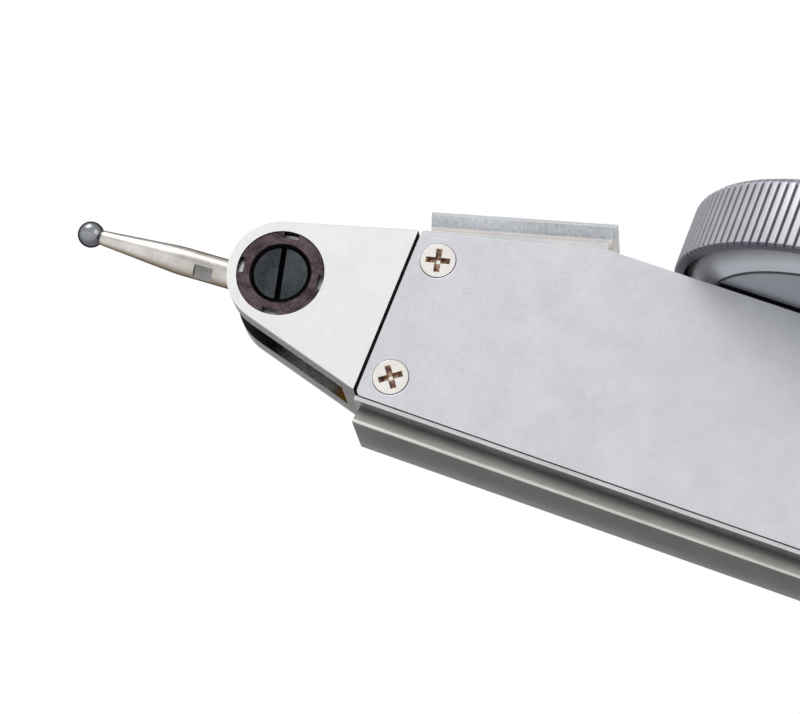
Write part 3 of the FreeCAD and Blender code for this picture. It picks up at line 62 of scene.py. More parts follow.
MADE: dict[str, bpy.types.Material] = {}
Point = tuple[float, float, float]
Tree = bpy.types.NodeTree
Socket = bpy.types.NodeSocket
Shape = bmesh.types.BMesh
Thing = bpy.types.Object


def mm(value: float) -> float:
    """Millimetres as metres."""
    return value / 1000.0


def linear(colour: str) -> tuple[float, float, float, float]:
    """Turn an sRGB hex colour to linear values.

    Args:
        colour: Six hex digits, such as "c8ccd0".

    Returns:
        Linear red, green and blue, with an alpha of one.
    """
    channels = [int(colour[start:start + 2], 16) / 255 for start in (0, 2, 4)]
    red, green, blue = (
        value / 12.92 if value <= 0.04045 else ((value + 0.055) / 1.055) ** 2.4 for value in channels
    )
    return red, green, blue, 1.0


def add_node(
    tree: Tree,
    kind: str,
    settings: Mapping[str | int, object] | None = None,
    links: Mapping[str | int, Socket] | None = None,
) -> bpy.types.Node:
    """Add one node with its settings and links.

    Args:
        tree: The node tree that the node joins.
        kind: The node's type, such as "ShaderNodeTexNoise".
        settings: Values of properties or inputs, by name or by an input's number.
        links: Output sockets to join to the node's inputs, by the input's name or number.

    Returns:
        The new node.
    """
    node = tree.nodes.new(kind)
    for key, value in (settings or {}).items():
        if isinstance(key, int) or key in node.inputs:
            node.inputs[key].default_value = value
        else:
            setattr(node, key, value)
    for key, socket in (links or {}).items():
        tree.links.new(socket, node.inputs[key])
    return node


def object_place(tree: Tree) -> Socket:
    """The place on the piece, in metres."""
    return add_node(tree, "ShaderNodeTexCoord").outputs["Object"]


def vectors(tree: Tree, operation: str, first: Socket, second: Sequence[float] = (0.0, 0.0, 0.0)) -> Socket:
    """Work on a vector, with a fixed one where the operation takes two."""
    node = add_node(tree, "ShaderNodeVectorMath", {"operation": operation, 1: second}, {0: first})
    return node.outputs["Value" if operation in ("LENGTH", "DOT_PRODUCT") else "Vector"]


def noise(tree: Tree, place: Socket, scale: float, detail: float, roughness: float = 0.5) -> Socket:
    """Smooth noise from zero to one."""
    settings = {"Scale": scale, "Detail": detail, "Roughness": roughness}
    return add_node(tree, "ShaderNodeTexNoise", settings, {"Vector": place}).outputs["Fac"]


def ranged(tree: Tree, value: Socket, settings: Mapping[str | int, object]) -> Socket:
    """A value carried from one range to another."""
    return add_node(tree, "ShaderNodeMapRange", settings, {"Value": value}).outputs["Result"]


def mixed(tree: Tree, share: Socket, first: Socket | str, second: str) -> Socket:
    """A colour that goes from the first to the second as a share goes from zero to one."""
    settings = {"data_type": "RGBA", 7: linear(second)}
    links = {0: share}
    if isinstance(first, str):
        settings[6] = linear(first)
    else:
        links[6] = first
    return add_node(tree, "ShaderNodeMix", settings, links).outputs[2]


def relief(tree: Tree, height: Socket, depth_mm: float) -> Socket:
    """A normal that follows a height."""
    settings = {"Strength": 1.0, "Distance": mm(depth_mm)}
    return add_node(tree, "ShaderNodeBump", settings, {"Height": height}).outputs["Normal"]


def fresh_material(name: str) -> tuple[bpy.types.Material, Tree]:
    """A new material with an empty node tree."""
    material = bpy.data.materials.new(name)
    material.use_nodes = True
    material.node_tree.nodes.clear()
    MADE[name] = material
    return material, material.node_tree


def placed(name: str, data: bpy.types.ID) -> Thing:
    """A new object in the scene, at the origin."""
    thing = bpy.data.objects.new(name, data)
    bpy.context.scene.collection.objects.link(thing)
    return thing


# ---- finishes
class Grain(Enum):
    """How a surface was worked, which sets the way its fine lines run."""

    EVEN = "even"
    ALONG = "along"
    UPRIGHT = "upright"
    TURNED_X = "turned_x"
    TURNED_Z = "turned_z"


STRAIGHT = {Grain.ALONG: 0, Grain.UPRIGHT: 2}
TURNED = {Grain.TURNED_X: (0, 1, 1), Grain.TURNED_Z: (1, 1, 0)}

ALONG = (1.0, 0.0, 0.0)
ACROSS = (0.0, 1.0, 0.0)
UPRIGHT = (0.0, 0.0, 1.0)
AHEAD = (-1.0, 0.0, 0.0)
NEAR = (0.0, -1.0, 0.0)
DOWN = (0.0, 0.0, -1.0)

# How much the lines count beside the clouds, and the middle and half width of their joint range.
LINE_SHARE = 0.6
SHADE_MIDDLE = 0.8
SHADE_SPREAD = 0.3
LEAST_ROUGHNESS = 0.04


@dataclass(frozen=True)
class Fade:
    """A second colour that takes over with place, or where a surface turns away.

    Start and end are places in millimetres along a way, with the sign dropped. By turn, they are
    the normal's share along it. With a centre, they are distances in millimetres from the axis
    that runs that way through the centre, which is itself in metres.
    """

    colour: str
    start: float
    end: float
    way: Point = ACROSS
    by_turn: bool = False
    centre: Point | None = None

    def measure(self, tree: Tree) -> Socket:
        """The place, turn or distance that the fade follows."""
        if self.centre is None:
            source = add_node(tree, "ShaderNodeTexCoord").outputs["Normal" if self.by_turn else "Object"]
            along = vectors(tree, "DOT_PRODUCT", source, self.way)
            return add_node(tree, "ShaderNodeMath", {"operation": "ABSOLUTE"}, {0: along}).outputs[0]
        out = vectors(tree, "SUBTRACT", object_place(tree), self.centre)
        return vectors(tree, "LENGTH", vectors(tree, "MULTIPLY", out, [1 - part for part in self.way]))

    def blend(self, tree: Tree, colour: Socket) -> Socket:
        """Lay the second colour over the first.

        Args:
            tree: The node tree of the material.
            colour: The first colour.

        Returns:
            The blended colour.
        """
        unit = 1.0 if self.by_turn else mm(1.0)
        ends = {"From Min": self.start * unit, "From Max": self.end * unit}
        share = ranged(tree, self.measure(tree), {**ends, "interpolation_type": "SMOOTHSTEP"})
        return mixed(tree, share, colour, self.colour)


@dataclass(frozen=True)
class Finish:
    """A surface finish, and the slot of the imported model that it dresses."""

    name: str
    slot: str

    def shader(self, tree: Tree) -> bpy.types.Node:
        """The surface's shader with all that feeds it; each kind of finish has its own."""
        raise NotImplementedError

    def material(self) -> bpy.types.Material:
        """The finish as a material, made once and then shared."""
        if self.name not in MADE:
            tree = fresh_material(self.name)[1]
            add_node(tree, "ShaderNodeOutputMaterial", {}, {"Surface": self.shader(tree).outputs[0]})
        return MADE[self.name]


@dataclass(frozen=True)
class Metal(Finish):
    """A worked metal surface: fine tool lines in its colour, gloss and relief, over soft clouds.

    The lines' spacing and the clouds' width are real sizes in millimetres.
    """

    light: str
    dark: str
    roughness: float
    grain: Grain = Grain.EVEN
    grain_mm: float = 0.12
    run_mm: float = 5.0
    relief_mm: float = 0.0008
    gloss_spread: float = 0.08
    cloud_mm: float = 2.5
    contrast: float = 1.0
    metallic: float = 1.0
    centre: Point = (0.0, 0.0, 0.0)
    lean: float = 0.0
    fades: tuple[Fade, ...] = ()
    edge: str = "ffffff"

    def grain_vector(self, tree: Tree) -> Socket:
        """Coordinates in which one unit is one line's spacing."""
        place = add_node(
            tree,
            "ShaderNodeMapping",
            {"vector_type": "TEXTURE", "Location": self.centre, "Rotation": (0.0, self.lean, 0.0)},
            {"Vector": object_place(tree)},
        ).outputs["Vector"]
        fine = 1 / mm(self.grain_mm)
        scale = [fine, fine, fine]
        if self.grain in TURNED:
            across = TURNED[self.grain]
            reach = vectors(tree, "LENGTH", vectors(tree, "MULTIPLY", place, across))
            along = vectors(tree, "DOT_PRODUCT", place, [1 - part for part in across])
            place = add_node(tree, "ShaderNodeCombineXYZ", {}, {"X": reach, "Y": along}).outputs["Vector"]
        elif self.grain in STRAIGHT:
            scale[STRAIGHT[self.grain]] = 1 / mm(self.run_mm)
        return vectors(tree, "MULTIPLY", place, scale)

    def shader(self, tree: Tree) -> bpy.types.Node:
        """Lines and clouds in the colour, and lines in the gloss and the relief."""
        lines = noise(tree, self.grain_vector(tree), 1.0, 3.0, 0.6)
        clouds = noise(tree, object_place(tree), 1 / mm(self.cloud_mm), 4.0, 0.62)
        both = add_node(
            tree, "ShaderNodeMath", {"operation": "MULTIPLY_ADD", 1: LINE_SHARE}, {0: lines, 2: clouds}
        ).outputs[0]
        spread = SHADE_SPREAD / self.contrast
        shade = ranged(tree, both, {"From Min": SHADE_MIDDLE - spread, "From Max": SHADE_MIDDLE + spread})
        colour = mixed(tree, shade, self.dark, self.light)
        for fade in self.fades:
            colour = fade.blend(tree, colour)
        glossiest = max(LEAST_ROUGHNESS, self.roughness - self.gloss_spread)
        gloss_range = {"From Min": 0.3, "From Max": 0.7, "To Min": glossiest}
        gloss = ranged(tree, lines, {**gloss_range, "To Max": self.roughness + self.gloss_spread})
        settings = {"Metallic": self.metallic, "Specular Tint": linear(self.edge)}
        bump = relief(tree, lines, self.relief_mm)
        links = {"Base Color": colour, "Roughness": gloss, "Normal": bump}
        return add_node(tree, "ShaderNodeBsdfPrincipled", settings, links)


@dataclass(frozen=True)
class Coat(Finish):
    """A lacquer, rubber or printed ink: a dielectric film with a faint uneven surface."""

    light: str
    dark: str
    roughness: float
    fleck_mm: float = 0.15
    relief_mm: float = 0.002

    def shader(self, tree: Tree) -> bpy.types.Node:
        """Flecks in the colour and in the relief."""
        fleck = noise(tree, object_place(tree), 1 / mm(self.fleck_mm), 2.0)
        colour = mixed(tree, fleck, self.dark, self.light)
        links = {"Base Color": colour, "Normal": relief(tree, fleck, self.relief_mm)}
        return add_node(tree, "ShaderNodeBsdfPrincipled", {"Roughness": self.roughness}, links)


@dataclass(frozen=True)
class Clear(Finish):
    """Clear cast acrylic: a water-clear body that bends light a little less than glass."""

    tint: str
    roughness: float = 0.02
    wave_mm: float = 6.0
    bend: float = 1.49

    def shader(self, tree: Tree) -> bpy.types.Node:
        """Slow waves in the gloss."""
        wave = noise(tree, object_place(tree), 1 / mm(self.wave_mm), 1.0)
        gloss = ranged(tree, wave, {"To Min": self.roughness / 2, "To Max": self.roughness * 2})
        settings = {"Base Color": linear(self.tint), "IOR": self.bend, "Transmission Weight": 1.0}
        return add_node(tree, "ShaderNodeBsdfPrincipled", settings, {"Roughness": gloss})


def middle(node: str) -> Vector:
    """The centre of a node's box."""
    low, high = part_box(node)
    return (low + high) / 2


PIVOT = middle("stylus_hub")
BALL = middle("contact_ball")
DIAL = middle("dial_plate")
STYLUS_LEAN = math.atan2(PIVOT.z - BALL.z, PIVOT.x - BALL.x)

# Surface-ground tool steel: near white, with hair-fine lines across the neck.
GROUND_STEEL = Metal(
    "ground_tool_steel", "ground_steel", "e4e4e3", "dadad9", 0.34, Grain.UPRIGHT, 0.09, 3.0,
    relief_mm=0.0003, gloss_spread=0.04, lean=math.radians(8.0),
)
# The neck's narrow upper faces, ground like its sides, and the broken edge along them in painted shade.
NECK_TOP = Metal("ground_neck_top", "ground_steel", "d2d2d1", "c4c4c2", 0.34, Grain.ALONG, 0.1, 4.0)
NECK_BREAK_SHADE = Metal("neck_break_painted_shade", "ground_steel", "8d8d8b", "7c7c7a", 0.4, Grain.ALONG, 0.1, 4.0)
# The same steel on the neck's underside: grey with painted shade at the ground face, darker with more
# painted shade into the slot.
NECK_UNDERSIDE_SHADE = Metal(
    "neck_underside_painted_shade", "ground_steel", "94938f", "82817d", 0.4, Grain.ALONG, 0.12, 4.0,
    fades=(Fade("40423f", 3.8, 3.5),),
)
# Steel in the slot, which only stray light reaches: grey-green and cloudy, with painted shade that goes
# near black towards the nose and a painted brass glint near the slot's end.
SLOT_SHADE_AND_GLINT = Metal(
    "slot_steel_painted_shade_and_glint", "ground_steel", "989c9a", "6e7271", 0.28, Grain.EVEN, 0.6, cloud_mm=3.2,
    metallic=0.6, fades=(Fade("1a1c1d", 29.5, 32.0, ALONG), Fade("93691f", 26.6, 25.5, ALONG)),
)
# The slot's end, in a painted brass glint.
SLOT_END_GLINT = Metal(
    "slot_end_painted_brass_glint", "ground_steel", "b08a44", "73501f", 0.34, Grain.EVEN, 0.4, cloud_mm=1.6,
    metallic=0.5,
)
# Painted shade on the faces of a joint between two pieces, seen as a black line.
JOINT_SHADE = Metal("joint_painted_shade", "ground_steel", "1d161d", "120d12", 0.6, metallic=0.3)
# Satin-plated steel plate: a cool, slightly blue grey that spreads a highlight wide, with painted
# shade in the countersinks and down the edges.
SATIN_PLATE = Metal(
    "satin_plated_steel", "cover_steel", "cacbd0", "bcbec2", 0.42, Grain.EVEN, 0.2, relief_mm=0.0006,
    gloss_spread=0.05, fades=(Fade("231a22", 3.99, 3.93),),
)
# Milled tool steel: plain grey, with long cutter lines.
MILLED_STEEL = Metal(
    "milled_tool_steel", "satin_steel", "c6c7c8", "b6b7b9", 0.34, Grain.ALONG, 0.12, 14.0,
    relief_mm=0.0005, gloss_spread=0.05,
)
# The frame's rim round the cover: brighter, since it is ground with the cover's seat.
RIM_STEEL = Metal("ground_rim", "satin_steel", "cfcfcf", "bcbdbe", 0.32, Grain.ALONG, 0.12, 10.0)
# The dovetail's clamping flank: painted shade darkens it under the shoulder.
RAIL_FLANK_SHADED = Metal(
    "rail_flank_painted_shade", "satin_steel", "bfbebb", "a9a8a4", 0.36, Grain.ALONG, 0.1, 14.0, relief_mm=0.0005,
    gloss_spread=0.05, metallic=0.5, fades=(Fade("747472", 0.55, 1.4, UPRIGHT),),
)
# The dovetail's edge land, and its shoulder darker in painted shade.
RAIL_LAND = Metal("rail_land", "satin_steel", "cbcac7", "bdbcb9", 0.3, Grain.ALONG, 0.1, 12.0)
RAIL_SHOULDER_SHADE = Metal(
    "rail_shoulder_painted_shade", "satin_steel", "a8a8a7", "8b8b8a", 0.4, Grain.ALONG, 0.1, 12.0, metallic=0.5
)
# The rail's base, as milled: an even mid grey of painted shade.
RAIL_BASE_SHADE = Metal(
    "rail_base_painted_shade", "satin_steel", "878582", "716f6c", 0.36, Grain.ALONG, 0.1, 16.0, relief_mm=0.0005,
    gloss_spread=0.05,
)
# The front dovetail's flank: blue-grey with upright cutter marks, pale along its foot.
WEDGE_FLANK = Metal(
    "wedge_flank", "satin_steel", "c7cacd", "858a90", 0.34, Grain.UPRIGHT, 0.2, 12.0, relief_mm=0.002,
    contrast=1.3, cloud_mm=20.0, lean=math.radians(-15.0),
    fades=(Fade("e2dbd8", 21.6, 21.45, (-0.2588, 0.0, 0.9659)),),
)
WEDGE_END = Metal("wedge_end", "satin_steel", "b9b5ad", "a19d95", 0.36, Grain.UPRIGHT, 0.1, 3.0)
# Bright nickel over steel: warm and mirror-like.
BRIGHT_NICKEL = Metal("polished_nickel", "bright_nickel", "ece8e4", "e4dfda", 0.2, Grain.EVEN, 0.3)
# The driver recess, in painted brown shade.
RECESS_SHADE = Metal(
    "recess_painted_shade", "bright_nickel", "bfa68a", "6a4a42", 0.32, Grain.EVEN, 0.35, cloud_mm=0.5,
    contrast=2.0, metallic=0.7,
)
# Black oxide on turned steel: brown-purple where it is thin, with painted shade that turns it black
# on its deeper faces and in its inner step.
BLACK_OXIDE = Metal(
    "black_oxide_film", "black_oxide", "5f5153", "352d31", 0.44, Grain.EVEN, 0.16, cloud_mm=1.1,
    contrast=1.9, fades=(Fade("0f0b0f", 3.9, 3.8), Fade("0b090b", 2.36, 2.26, centre=tuple(PIVOT))),
)
# Heat-blued steel gone dark: a cold grey-black with a soft gloss, and painted shade that turns it
# black below its face, in the slot.
BLUED_STEEL = Metal(
    "dark_blued_steel", "blued_steel", "484b4f", "2e3135", 0.5, Grain.EVEN, 0.1, contrast=1.8,
    fades=(Fade("08080a", 3.75, 3.65),),
)
# Turned stainless steel: fine rings along the shank, with painted brown-grey shade where it turns away
# from the near and far sides.
STYLUS_STEEL = Metal(
    "turned_stainless", "stylus_steel", "cfccc8", "a39e98", 0.3, Grain.TURNED_X, 0.09,
    centre=tuple(PIVOT), lean=STYLUS_LEAN, gloss_spread=0.05, contrast=1.2,
    fades=(Fade("8c8275", 0.84, 0.3, ACROSS, True), Fade("33302d", 46.8, 47.1, ALONG)),
    edge="3f372e",
)
# The spanner flat: cross-milled, and greyer than the shank.
FLAT_STEEL = Metal("milled_flat", "stylus_steel", "9c9c9b", "6c6c6b", 0.4, Grain.UPRIGHT, 0.09, 1.5)
# Lapped tungsten carbide: grey at its crown, with painted shade dark round its rim.
CARBIDE = Metal(
    "lapped_carbide", "carbide", "8f9194", "7b7d81", 0.16, Grain.EVEN, 0.5, relief_mm=0.0001,
    gloss_spread=0.03, fades=(Fade("5c5e62", 0.95, 0.45, ACROSS, True),), edge="17181a",
)
# Plain turned steel of small inner pieces.
TURNED_STEEL = Metal("turned_steel", "hub_steel", "a9a6a1", "85827e", 0.3)
# Machined brass.
LEVER_BRASS = Metal("machined_brass", "lever_brass", "d8a94e", "a87a2c", 0.25, Grain.ALONG, 0.12)
# Hard brass of cut wheels and bushes.
WHEEL_BRASS = Metal("wheel_brass", "wheel_brass", "e2bd68", "b98f3e", 0.25)
# Phosphor bronze: redder than brass.
SPRING_BRONZE = Metal("spring_bronze", "spring_bronze", "c98b56", "96602f", 0.25, Grain.EVEN, 0.1)
# Drawn spring wire.
SPRING_WIRE = Metal("spring_wire", "spring_wire", "b7b7b8", "8d8d90", 0.3, Grain.EVEN, 0.08)
# Satin alloy of the dial case: turned, with a flat blue-grey inside its step line. Painted shade
# makes a dark ring at the step line, the cone is painted light just outside it and shaded darker
# to its rim, and a painted black shadow fills the gap that it leaves over the frame.
CASE_ALLOY = Metal(
    "satin_case_alloy", "case_alloy", "989da4", "8a8f96", 0.36, Grain.TURNED_Z, 0.14, centre=tuple(DIAL),
    relief_mm=0.0004, metallic=0.6,
    fades=(
        Fade("130f15", 4.15, 3.95),
        Fade("3b373b", 11.80, 11.86, UPRIGHT, centre=tuple(DIAL)),
        Fade("c0c3c8", 11.93, 11.99, UPRIGHT, centre=tuple(DIAL)),
        Fade("77777b", 12.5, 13.9, UPRIGHT, centre=tuple(DIAL)),
    ),
)
# Satin-plated bezel: light and slightly blue on the lands.
BEZEL_ALLOY = Metal(
    "satin_bezel_plate", "bezel_alloy", "bcbec3", "adafb4", 0.45, Grain.EVEN, 0.2, relief_mm=0.0005,
    gloss_spread=0.05, metallic=0.8, edge="5d5d66",
)
# The grooves of the knurl, darker with painted shade.
BEZEL_GROOVE_SHADE = Metal("bezel_groove_painted_shade", "bezel_alloy", "918e96", "7b7780", 0.45, Grain.EVEN, 0.2)
# The bezel's under-edge, darker with painted shade.
BEZEL_EDGE_SHADE = Metal("bezel_under_edge_painted_shade", "bezel_alloy", "65666f", "53545c", 0.4, Grain.EVEN, 0.2)
# Matt white dial lacquer.
DIAL_LACQUER = Coat("dial_lacquer", "dial_white", "f6f5f1", "f1f0eb", 0.55)
# Black printing ink on the dial.
DIAL_INK = Coat("dial_ink", "hand_black", "1c1c1d", "141415", 0.6)
# Black lacquer of the hand.
HAND_LACQUER = Coat("hand_lacquer", "hand_black", "1a1a1b", "111112", 0.35)
# Nitrile rubber.
RUBBER = Coat("nitrile_rubber", "gasket_rubber", "262626", "191919", 0.7)
# Clear acrylic.
ACRYLIC = Clear("clear_acrylic", "crystal_clear", "fefefe")


# ---- making pieces
@dataclass(frozen=True)
class Region:
    """Faces with a finish of their own: those that look one way, within a box in millimetres."""

    finish: Finish
    facing: Point
    least: float = 0.9
    low: Point = (-FAR, -FAR, -FAR)
    high: Point = (FAR, FAR, FAR)

    def holds(self, face: bmesh.types.BMFace) -> bool:
        """Whether a face belongs to the region."""
        if face.normal.dot(Vector(self.facing).normalized()) < self.least:
            return False
        place = face.calc_center_median() * 1000
        return all(low <= part <= high for low, part, high in zip(self.low, place, self.high))


def both_sides(
    finish: Finish, facing: Point, least: float, low: Point = Region.low, high: Point = Region.high
) -> list[Region]:
    """The same region on the near side, which the direction is given for, and on the far one."""
    along, across, upright = facing
    return [Region(finish, (along, sign * across, upright), least, low, high) for sign in (1.0, -1.0)]


def new_piece(
    work: Shape,
    name: str,
    finish: Finish,
    body: str,
    stands_for: Sequence[str] = (),
    regions: Sequence[Region] = (),
    smooth_angle: float = 32.0,
) -> Thing:
    """Turn a bmesh into a finished piece that rides on a body.

    Args:
        work: The shape, in metres in the model's frame; it is freed.
        name: The piece's name.
        finish: What its surface is.
        body: The body that it moves with.
        stands_for: The nodes that it is shown in place of.
        regions: Faces with another finish; the first region that holds a face takes it.
        smooth_angle: Edges sharper than this, in degrees, stay crisp.

    Returns:
        The new object.
    """
    finishes = list(dict.fromkeys([finish, *(region.finish for region in regions)]))
    work.normal_update()
    for face in work.faces:
        for region in regions:
            if region.holds(face):
                face.material_index = finishes.index(region.finish)
                break
    mesh = bpy.data.meshes.new(name)
    work.to_mesh(mesh)
    work.free()
    for each in finishes:
        mesh.materials.append(each.material())
    mesh.shade_smooth()
    mesh.set_sharp_from_angle(angle=math.radians(smooth_angle))
    piece = placed(name, mesh)
    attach(piece, body)
    if stands_for:
        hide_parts(*stands_for)
    LOG.info("%s rides on %s with %d faces", name, body, len(mesh.polygons))
    return piece


def paint(piece: Thing, finish: Finish, holds: Callable[[Vector], bool]) -> None:
    """Give another finish to the faces whose centres pass a test."""
    mesh = piece.data
    mesh.materials.append(finish.material())
    for polygon in mesh.polygons:
        if holds(polygon.center):
            polygon.material_index = len(mesh.materials) - 1


def even_normals(piece: Thing) -> None:
    """Let large faces keep their flat shading beside their bevels."""
    even = piece.modifiers.new("even_normals", "WEIGHTED_NORMAL")
    even.keep_sharp = True
    even.weight = 80


def sharp_edges(work: Shape) -> list[bmesh.types.BMEdge]:
    """Edges whose two faces turn by more than the eased angle."""
    limit = math.radians(EASED_ANGLE)
    return [
        edge for edge in work.edges if len(edge.link_faces) == 2 and edge.calc_face_angle() > limit
    ]


def bevel_edges(
    work: Shape, edges: Iterable[bmesh.types.BMEdge], width: float, segments: int = 2
) -> None:
    """Round edges off by a width in metres."""
    style = {"offset_type": "OFFSET", "affect": "EDGES", "profile": 0.5, "material": -1}
    bmesh.ops.bevel(work, geom=list(edges), offset=width, segments=segments, clamp_overlap=True, **style)


def merged(node: str) -> Shape:
    """A node's own shape, welded, with its flat faces whole."""
    work = bmesh.new()
    work.from_mesh(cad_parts[node].data)
    bmesh.ops.remove_doubles(work, verts=work.verts, dist=WELD)
    limit = math.radians(FLAT_ANGLE)
    bmesh.ops.dissolve_limit(work, angle_limit=limit, verts=work.verts, edges=work.edges)
    return work


def eased_copy(
    node: str, finish: Finish, body: str, break_mm: float, regions: Sequence[Region] = ()
) -> Thing:
    """A node's own shape with its sharp edges broken, shown in place of the node.

    Args:
        node: The node that is copied.
        finish: What its surface is.
        body: The body that it rides on.
        break_mm: How far each edge is broken, in millimetres.
        regions: Faces with another finish.

    Returns:
        The new object.
    """
    work = merged(node)
    bevel_edges(work, sharp_edges(work), mm(break_mm))
    piece = new_piece(work, node + "_finished", finish, body, [node], regions)
    even_normals(piece)
    return piece


def dress(node: str, finish: Finish) -> None:
    """Give a node that stays in view its material."""
    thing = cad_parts[node]
    thing.data.materials.clear()
    thing.data.materials.append(finish.material())
    LOG.info("%s keeps its own shape", node)


class Axis(Enum):
    """The axis that a profile is spun about, with how its height and its reach run."""

    X = (ALONG, UPRIGHT)
    Z = (UPRIGHT, ALONG)


def spun(
    profile: Sequence[tuple[float, float]], centre: Vector, axis: Axis, steps: int
) -> Shape:
    """Spin a closed profile once about an axis.

    Args:
        profile: Ring of (reach, height) corners in metres.
        centre: A point on the axis, from which heights are measured.
        axis: The axis.
        steps: Facets round the turn.

    Returns:
        The closed shape, with its faces pointing out.
    """
    along, out = (Vector(way) for way in axis.value)
    work = bmesh.new()
    ring = [work.verts.new(centre + out * reach + along * height) for reach, height in profile]
    for start, end in zip(ring, ring[1:] + ring[:1]):
        work.edges.new((start, end))
    geom = work.verts[:] + work.edges[:]
    turn = {"cent": centre, "axis": along, "angle": FULL_TURN, "steps": steps}
    bmesh.ops.spin(work, geom=geom, use_merge=True, use_duplicate=False, **turn)
    bmesh.ops.remove_doubles(work, verts=work.verts, dist=WELD)
    bmesh.ops.dissolve_degenerate(work, dist=WELD, edges=work.edges)
    bmesh.ops.recalc_face_normals(work, faces=work.faces)
    return work


def sink(work: Shape, extruded: Iterable[object], depth: float, taper: float) -> None:
    """Sink what an extrusion has made, and draw it in towards the axis."""
    verts = [item for item in extruded if isinstance(item, bmesh.types.BMVert)]
    bmesh.ops.translate(work, verts=verts, vec=(0.0, 0.0, -depth))
    bmesh.ops.scale(work, verts=verts, vec=(taper, taper, 1.0))


def island_centres(node: str) -> list[Vector]:
    """The box centre of each separate solid in a node, from the front to the rear."""
    work = merged(node)
    left = set(work.verts)
    centres = []
    while left:
        group = {left.pop()}
        edge = list(group)
        while edge:
            near = {other for vert in edge for link in vert.link_edges for other in link.verts}
            edge = [vert for vert in near if vert in left]
            left.difference_update(edge)
            group.update(edge)
        places = [vert.co for vert in group]
        centres.append(Vector([
            (min(place[way] for place in places) + max(place[way] for place in places)) / 2
            for way in range(3)
        ]))
    work.free()
    return sorted(centres, key=lambda place: (round(place.x, 4), place.z))


# ---- sub-assemblies
@dataclass
class Body:
    """The frame with its rails, and the cover plate with its screws. Sizes in millimetres."""

    frame_break: float = 0.05
    cover_break: float = 0.03
    head_radius: float = 1.31
    head_depth: float = 0.3
    head_round: float = 0.07
    recess_reach: float = 0.9
    recess_half: float = 0.22
    recess_depth: float = 0.42
    recess_taper: float = 0.62
    head_taper: float = 0.85
    head_facets: int = 64
    recess_turns: tuple[float, ...] = (36.0, 13.0, 58.0, -8.0)

    def frame_regions(self) -> list[Region]:
        """The frame's faces by how each was cut, with painted shade on the rail's base,
        shoulder and flank and on the joint faces.
        """
        shoulder = 1.45
        wedge = ((-24.0, -4.2, 15.0), (-10.0, 4.2, 21.0))
        return [
            Region(RAIL_BASE_SHADE, DOWN, high=(25.0, 5.0, 0.1)),
            Region(RAIL_SHOULDER_SHADE, DOWN, high=(27.0, 5.0, shoulder + 0.1)),
            *both_sides(RAIL_LAND, (0.0, -1.0, -0.3), 0.6, high=(25.0, 5.0, 0.3)),
            *both_sides(RAIL_FLANK_SHADED, (0.0, -0.87, 0.5), 0.9, high=(25.0, 5.0, shoulder)),
            *both_sides(WEDGE_FLANK, (0.13, -0.87, -0.48), 0.9, *wedge),
            Region(WEDGE_END, ALONG, 0.9, (-10.3, -4.2, 18.0), (-9.8, 4.2, 21.0)),
            Region(JOINT_SHADE, NEAR, 0.9, (-25.0, -3.2, 1.5), (-20.0, -2.9, 18.0)),
            Region(RIM_STEEL, NEAR, 0.6, (-25.0, -4.2, 1.4), (27.0, -3.6, 19.0)),
            Region(JOINT_SHADE, AHEAD, 0.9, (-24.0, -4.2, 1.4), (-23.0, 4.2, 16.0)),
        ]

    def screw(self, place: Vector, turn: float, name: str) -> Thing:
        """One countersunk screw's head with its tapered cross recess.

        Args:
            place: The centre of the head's face.
            turn: The recess's turn in degrees.
            name: The piece's name.

        Returns:
            The new object.
        """
        work = bmesh.new()
        bmesh.ops.create_circle(
            work, cap_ends=True, segments=self.head_facets, radius=mm(self.head_radius)
        )
        half = mm(self.recess_half)
        reach = mm(self.recess_reach)
        for offset in (-reach, -half, half, reach):
            for way in (ALONG, ACROSS):
                geom = work.verts[:] + work.edges[:] + work.faces[:]
                spot = Vector(way) * offset
                bmesh.ops.bisect_plane(work, geom=geom, dist=WELD, plane_co=spot, plane_no=way)
        cross = []
        for face in work.faces:
            middle_x, middle_y = (abs(part) for part in face.calc_center_median()[:2])
            if min(middle_x, middle_y) < half and max(middle_x, middle_y) < reach:
                cross.append(face)
        rim = [edge for edge in work.edges if edge.is_boundary]
        floor = bmesh.ops.extrude_face_region(work, geom=cross)["geom"]
        sink(work, floor, mm(self.recess_depth), self.recess_taper)
        bmesh.ops.delete(work, geom=cross, context="FACES")
        skirt = bmesh.ops.extrude_edge_only(work, edges=rim)["geom"]
        sink(work, skirt, mm(self.head_depth), self.head_taper)
        bmesh.ops.recalc_face_normals(work, faces=work.faces)
        if any(face.normal.z < 0 for face in work.faces):
            bmesh.ops.reverse_faces(work, faces=work.faces)
        rim_reach = mm(self.head_radius - 0.01)
        outline = [
            edge for edge in work.edges
            if all(abs(vert.co.z) < WELD and vert.co.length > rim_reach for vert in edge.verts)
        ]
        bevel_edges(work, outline, mm(self.head_round), 3)
        stand = Matrix.Rotation(math.radians(90.0), 4, "X")
        work.transform(Matrix.Translation(place) @ stand @ Matrix.Rotation(math.radians(turn), 4, "Z"))
        piece = new_piece(work, name, BRIGHT_NICKEL, "housing", ["cover_screws"])

        def in_recess(spot: Vector) -> bool:
            """Whether a place is on the recess's walls or floor."""
            away = spot - place
            flat = math.hypot(away.x, away.z)
            return half * 0.8 < flat < reach * 1.02 and spot.y * 1000 > place.y * 1000 + 0.02

        # The recess's walls and floor carry the painted brown shade.
        paint(piece, RECESS_SHADE, in_recess)
        return piece

    def build(self) -> None:
        """Make and dress the pieces."""
        eased_copy("body_frame", MILLED_STEEL, "housing", self.frame_break, self.frame_regions())
        eased_copy("side_cover", SATIN_PLATE, "housing", self.cover_break)
        for index, centre in enumerate(island_centres("cover_screws")):
            face = Vector((centre.x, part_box("cover_screws")[0].y, centre.z))
            self.screw(face, self.recess_turns[index], f"cover_screw_head_{index + 1}")


